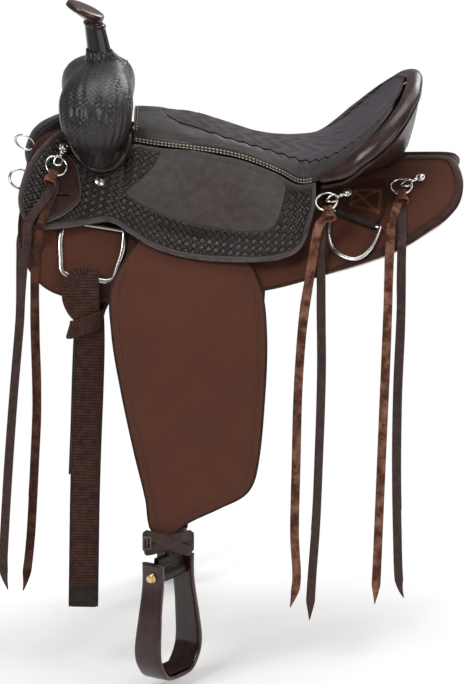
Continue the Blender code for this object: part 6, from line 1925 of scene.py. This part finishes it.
ON_SKIRT = SKIRT_TOP + 0.0006 + 0.0014
ON_JOCKEY = JOCKEY_LOW + 0.0016 + 0.0024 + 0.0024 + 0.0014
SECOND, RING_LIFT = 0.0034, 0.0038
STRING_TABLE = [
    ("front", (-0.206, 0.106, ON_JOCKEY + RING_LIFT),
     [(-0.212, 0.140, ON_JOCKEY + SECOND), (-0.222, 0.162, ON_JOCKEY + SECOND),
      (-0.238, 0.190, ON_JOCKEY + SECOND), (-0.245, 0.205, ON_JOCKEY), (-0.247, 0.222, ON_SKIRT + SECOND),
      (-0.250, 0.246, ON_SKIRT), (-0.253, 0.268, ON_SKIRT)],
     [(-0.256, 0.193, -0.112), (-0.258, 0.199, -0.150), (-0.267, 0.200, -0.250), (-0.275, 0.200, -0.353),
      (-0.282, 0.200, -0.457), (-0.284, 0.200, -0.510), (-0.278, 0.200, -0.541)],
     [(-0.209, 0.140, ON_JOCKEY), (-0.216, 0.162, ON_JOCKEY), (-0.225, 0.190, ON_JOCKEY),
      (-0.229, 0.207, ON_JOCKEY - 0.001), (-0.232, 0.224, ON_SKIRT + 0.001), (-0.235, 0.246, ON_SKIRT),
      (-0.236, 0.268, ON_SKIRT)],
     [(-0.236, 0.193, -0.112), (-0.236, 0.199, -0.150), (-0.234, 0.200, -0.264), (-0.238, 0.200, -0.353),
      (-0.244, 0.200, -0.457), (-0.251, 0.200, -0.520), (-0.256, 0.200, -0.543)], DARK_STRING, BROWN_STRING),
    ("middle", (0.180, 0.122, 0.070), [],
     [(0.171, 0.1690, -0.006), (0.165, 0.1740, -0.024), (0.160, 0.1800, -0.055), (0.154, 0.1850, -0.090),
      (0.148, 0.1870, -0.128), (0.143, 0.1880, -0.185), (0.139, 0.1880, -0.260), (0.137, 0.1880, -0.353),
      (0.135, 0.1880, -0.459), (0.138, 0.1880, -0.531), (0.129, 0.1880, -0.572)], [],
     [(0.174, 0.1610, -0.006), (0.1715, 0.1680, -0.024), (0.171, 0.1760, -0.055), (0.172, 0.1810, -0.090),
      (0.172, 0.1830, -0.128), (0.173, 0.1840, -0.206), (0.172, 0.1840, -0.270), (0.170, 0.1840, -0.334),
      (0.166, 0.1840, -0.442), (0.160, 0.1840, -0.532), (0.157, 0.1840, -0.592)], LIGHT_STRING, DARK_STRING),
    ("rear", (0.288, 0.080, ON_SKIRT + RING_LIFT),
     [(0.284, 0.108, ON_SKIRT + SECOND), (0.279, 0.124, ON_SKIRT + SECOND), (0.273, 0.145, ON_SKIRT + 0.0005),
      (0.271, 0.172, ON_SKIRT + 0.0018), (0.270, 0.187, ON_SKIRT + 0.0026)],
     [(0.268, 0.182, -0.092), (0.267, 0.184, -0.137), (0.262, 0.184, -0.281), (0.257, 0.184, -0.425),
      (0.253, 0.184, -0.534), (0.251, 0.184, -0.568)],
     [(0.288, 0.108, ON_SKIRT), (0.288, 0.124, ON_SKIRT), (0.288, 0.145, ON_SKIRT),
      (0.288, 0.170, ON_SKIRT + 0.0018), (0.287, 0.184, ON_SKIRT + 0.0026)],
     [(0.286, 0.180, -0.092), (0.286, 0.182, -0.137), (0.282, 0.182, -0.244), (0.281, 0.182, -0.352),
      (0.283, 0.182, -0.461), (0.286, 0.182, -0.534), (0.293, 0.182, -0.559)], LIGHT_STRING, DARK_STRING)]


@dataclass
class StringSet:
    """Ring on its snap, and the leather string folded over it with two hanging tails."""

    side: Side
    name: str
    ring_at: tuple
    laid_front: list
    hang_front: list
    laid_back: list
    hang_back: list
    front_finish: Finish
    back_finish: Finish
    width: float = 0.013
    thick: float = 0.0028
    radius: float = 0.0155
    wire: float = 0.0018

    def tail(self, laid: list, hanging: list) -> Array:
        """Line of one tail from the ring down."""
        points = [Back.at(x, s, h, self.side) for x, s, h in laid]
        known = np.array(hanging)
        for x, y, z in hanging:
            if self.side is Side.FAR:
                x = float(spread_far(x_on_tail(known, np.array(z + 0.098)), np.array(z)))
            points.append(np.array([x, self.side.sign * y, z]))
        return np.array(points)

    def build(self) -> None:
        """Makes the ring, its snap, the two tails and the knot."""
        x, s, h = self.ring_at
        word, side = self.side.word, self.side
        body = f"{self.name}_strings_body_{word}"
        ahead, down, out = Back.axes(x, s, h, side)
        centre = Back.at(x, s, h, side)
        ring = torus(centre, out, self.radius, self.wire)
        add_piece(f"string_ring_{self.name}_{word}", ring, STEEL, body, [f"ring_{self.name}_{word}"])
        low = centre + down * self.radius
        for index, (laid, hang, look) in enumerate(((self.laid_front, self.hang_front, self.front_finish),
                                                    (self.laid_back, self.hang_back, self.back_finish))):
            rise = 0.0045 if index == 0 else -0.0045
            start = [low - down * 0.0015 + out * rise, low + down * 0.0050 + out * rise * 0.8]
            known = np.concatenate([start, self.tail(laid, hang)])
            path = line_through(known, 500, 150)
            run = unit(np.gradient(path, axis=0))
            hanging = smooth((-path[:, 2] - 0.03) / 0.08)[:, None]
            across = unit(ahead * (1.0 - hanging) + ALONG * hanging)
            sway = 0.28 * np.sin(np.linspace(0.0, 5.0, 150) + index * 1.7 + len(self.name))[:, None]
            across = unit(across + np.cross(run, across) * sway * hanging)
            name = f"string_{self.name}_{'front' if index == 0 else 'back'}_{word}"
            strip = sweep(path, across, band_profile(self.width, self.thick, 6.0, 20), size=self.pointed(150))
            made = add_piece(name, strip, look, body, [f"saddle_strings_{self.name}_{word}"])
        self.knot(body, low, ahead, down, out)
        self.snap(centre, ahead, down, out)

    @staticmethod
    def pointed(count: int) -> Array:
        """Sizes along a tail that is cut to a long point."""
        t = np.linspace(0.0, 1.0, count)
        return np.minimum(0.7 + 0.3 * smooth(t / 0.01), 0.10 + 0.90 * np.clip((1.0 - t) / 0.045, 0.0, 1.0))

    def knot(self, body: str, low: Array, ahead: Array, down: Array, out: Array) -> None:
        """Two folds over the ring and the band that holds them."""
        folds = []
        a = np.radians(np.linspace(-150.0, 150.0, 26))[:, None]
        for shift in (-0.0034, 0.0034):
            path = (low - down * (np.cos(a) * 0.0052) + out * (np.sin(a) * 0.0052) + ahead * shift
                    + down * 0.006 * smooth((np.abs(a) - 1.4) / 1.2))
            folds.append(sweep(path, ahead, band_profile(0.0062, 0.0024, 4.0, 16),
                               size=tapered(26, 0.05, 0.7)))
        turn = turns(32)[:, None]
        band = low + down * 0.0125 + ahead * np.cos(turn) * 0.0080 + out * np.sin(turn) * 0.0068
        folds.append(sweep(band, down + ahead * 0.25, band_profile(0.0085, 0.0024, 4.0, 16), closed=True))
        add_piece(f"string_knot_{self.name}_{self.side.word}", joined(folds), LIGHT_STRING, body)

    def snap(self, centre: Array, ahead: Array, down: Array, out: Array) -> None:
        """Swivel snap that the ring hangs from, fixed to the saddle by a screw."""
        way = unit({"front": -down - ahead * 0.02, "middle": ahead * 0.97 - down * 0.25,
                    "rear": -down * 0.45 + ahead * 0.85}[self.name])
        cross = unit(np.cross(out, way))
        hook = centre + way * (self.radius * 0.55) - out * 0.0008
        turn = turns(40)[:, None]
        loop = (hook + way * np.cos(turn) * 0.0085 + cross * np.sin(turn) * 0.0058
                + out * 0.0016 * np.sin(turn * 2))
        stem = tube_along([hook + way * 0.0085, hook + way * 0.0130, hook + way * 0.0180], 0.0024, 14)
        eye = torus(hook + way * 0.0235, out, 0.0056, 0.0015, 32)
        head = lathe(hook + way * 0.0235 - out * 0.0030, out,
                     ((0.0038, 0.0), (0.0040, 0.0040), (0.0034, 0.0052), (0.0016, 0.0058)), 24)
        swivel = lathe(hook + way * 0.0120, way,
                       ((0.0022, 0.0), (0.0036, 0.0010), (0.0036, 0.0032), (0.0022, 0.0042)), 20)
        parts = [sweep(loop, out, round_profile(0.0016, 12), closed=True), stem, eye, head, swivel]
        add_piece(f"snap_{self.name}_{self.side.word}", joined(parts), STEEL, "saddle")


@dataclass
class Inside:
    """The tree, the ground seat and the steel horn, which keep their solids."""

    looks: tuple = (("tree_fibreglass", RESIN), ("bright_steel", STEEL), ("dark_leather", DARK_LEATHER),
                    ("binding_leather", BINDING), ("seat_leather", SEAT_LEATHER), ("brown_cordura", CORDURA),
                    ("brown_webbing", WEBBING), ("fleece", WOOL), ("string_leather", DARK_STRING),
                    ("brass", BRASS), ("stirrup_maroon", LACQUER))

    def dress(self) -> None:
        """Gives each solid that still shows a procedural material in place of its plain one."""
        by_slot = dict(self.looks)
        for node in frame["nodes"]:
            solid = bpy.data.objects[node if isinstance(node, str) else node.name]
            for place in solid.material_slots:
                base = place.material.name.split(".")[0] if place.material else ""
                if base in by_slot:
                    finish = by_slot[base]
                    place.material = replace(finish, name=finish.name + "_inner", uses="object",
                                             wear=None).material()


@dataclass
class Studio:
    """Pale floor, white background, soft lamps and the camera."""

    target: tuple = (0.0464, -0.0545, -0.2106)
    camera_at: tuple = (0.0464, -8.7678, 2.0428)
    lens: float = 326.67876588
    floor_z: float = -0.6670
    floor_half: float = 6.0

    def floor(self) -> None:
        """Plain pale floor below the longest string, and a white world behind it."""
        mesh = bpy.data.meshes.new("floor")
        size = self.floor_half
        corners = [(x * size, y * size, self.floor_z) for x, y in ((-1, -1), (1, -1), (1, 1), (-1, 1))]
        mesh.from_pydata(corners, [], [(0, 1, 2, 3)])
        plane = bpy.data.objects.new("floor", mesh)
        bpy.context.scene.collection.objects.link(plane)
        made = bpy.data.materials.new("pale_floor")
        made.use_nodes = True
        made.node_tree.nodes.clear()
        tree = Tree(made.node_tree)
        own = tree.node("ShaderNodeTexCoord", {}).outputs["Object"]
        tone = tree.mix(tree.noise(own, 2.0), (0.88, 0.88, 0.88, 1.0), (0.92, 0.92, 0.92, 1.0))
        matt = tree.node("ShaderNodeBsdfDiffuse", {0: tone})
        glow = tree.node("ShaderNodeEmission", {0: (1.0, 1.0, 1.0, 1.0), 1: 0.25})
        both = tree.node("ShaderNodeAddShader", {0: matt.outputs[0], 1: glow.outputs[0]})
        white = tree.node("ShaderNodeEmission", {0: (1.0, 1.0, 1.0, 1.0), 1: 1.0})
        x, y, _ = tree.split(own)
        far = tree.spread(tree.maths("ADD", tree.maths("ABSOLUTE", x), tree.maths("ABSOLUTE", y)), 0.35, 1.30)
        seen = tree.maths("MULTIPLY", far, tree.node("ShaderNodeLightPath", {}).outputs["Is Camera Ray"])
        mixed = tree.node("ShaderNodeMixShader", {0: seen, 1: both.outputs[0], 2: white.outputs[0]})
        tree.feed(tree.node("ShaderNodeOutputMaterial", {}).inputs[0], mixed.outputs[0])
        mesh.materials.append(made)
        world = bpy.data.worlds.new("studio")
        bpy.context.scene.world = world
        world.use_nodes = True
        world.node_tree.nodes.clear()
        tree = Tree(world.node_tree)
        path = tree.node("ShaderNodeLightPath", {})
        seen = tree.node("ShaderNodeBackground", {0: (1.0, 1.0, 1.0, 1.0), 1: 1.0})
        soft = tree.node("ShaderNodeBackground", {0: (0.97, 0.98, 1.0, 1.0), 1: 0.22})
        mixed = tree.node("ShaderNodeMixShader", {0: path.outputs["Is Camera Ray"], 1: soft.outputs[0],
                                                  2: seen.outputs[0]})
        tree.feed(tree.node("ShaderNodeOutputWorld", {}).inputs[0], mixed.outputs[0])

    def lamp(self, name: str, at: tuple, aim: tuple, power: float, size: float) -> None:
        """Square soft lamp aimed at a point."""
        data = bpy.data.lights.new(name, "AREA")
        data.energy, data.size = power, size
        made = bpy.data.objects.new(name, data)
        bpy.context.scene.collection.objects.link(made)
        made.location = at
        made.rotation_euler = (Vector(aim) - Vector(at)).to_track_quat("-Z", "Y").to_euler()

    def build(self) -> None:
        """Sets up the floor, the world, the lamps and the camera."""
        self.floor()
        self.lamp("key", (-1.8, -2.6, 2.6), (0.0, 0.0, -0.1), 70.0, 1.6)
        self.lamp("fill", (2.6, -2.4, 1.2), (0.0, 0.0, -0.2), 34.0, 2.0)
        self.lamp("top", (0.3, 0.4, 3.0), (0.0, 0.0, 0.0), 50.0, 2.2)
        self.lamp("rim", (1.4, 2.4, 1.6), (0.0, 0.0, 0.0), 36.0, 1.4)

    def camera(self) -> None:
        """Camera that stands where the photograph was taken."""
        data = bpy.data.cameras.new("camera")
        data.lens, data.sensor_width, data.sensor_fit = self.lens, 36.0, "AUTO"
        made = bpy.data.objects.new("camera", data)
        bpy.context.scene.collection.objects.link(made)
        made.location = self.camera_at
        aim = Vector(self.target) - Vector(self.camera_at)
        made.rotation_euler = aim.to_track_quat("-Z", "Y").to_euler()
        bpy.context.scene.camera = made
        bpy.context.scene.view_settings.view_transform = "Standard"


def main() -> None:
    """Builds everything in order: stage and strings first, then the layers from the horse outwards."""
    logging.basicConfig(level=logging.INFO, format="%(message)s")
    studio = Studio()
    studio.camera()
    studio.build()
    makers = [StringSet(side, *row) for side in Side for row in STRING_TABLE]
    makers += [layer(side) for layer in (Skirts, Rigging, Jockey) for side in Side]
    makers += [Seat(), Cantle(), Fork(), Horn()]
    makers += [FenderGroup(side) for side in Side]
    makers += [StirrupGroup(Side.NEAR, math.radians(56.0)), StirrupGroup(Side.FAR, math.radians(90.0))]
    makers += [TieStrap(Side.NEAR, 0.485), TieStrap(Side.FAR, 0.400)]
    for maker in makers:
        LOG.info("building %s", type(maker).__name__)
        maker.build()
    Inside().dress()
    LOG.info("pieces in place")


if __name__ == "__main__":
    main()
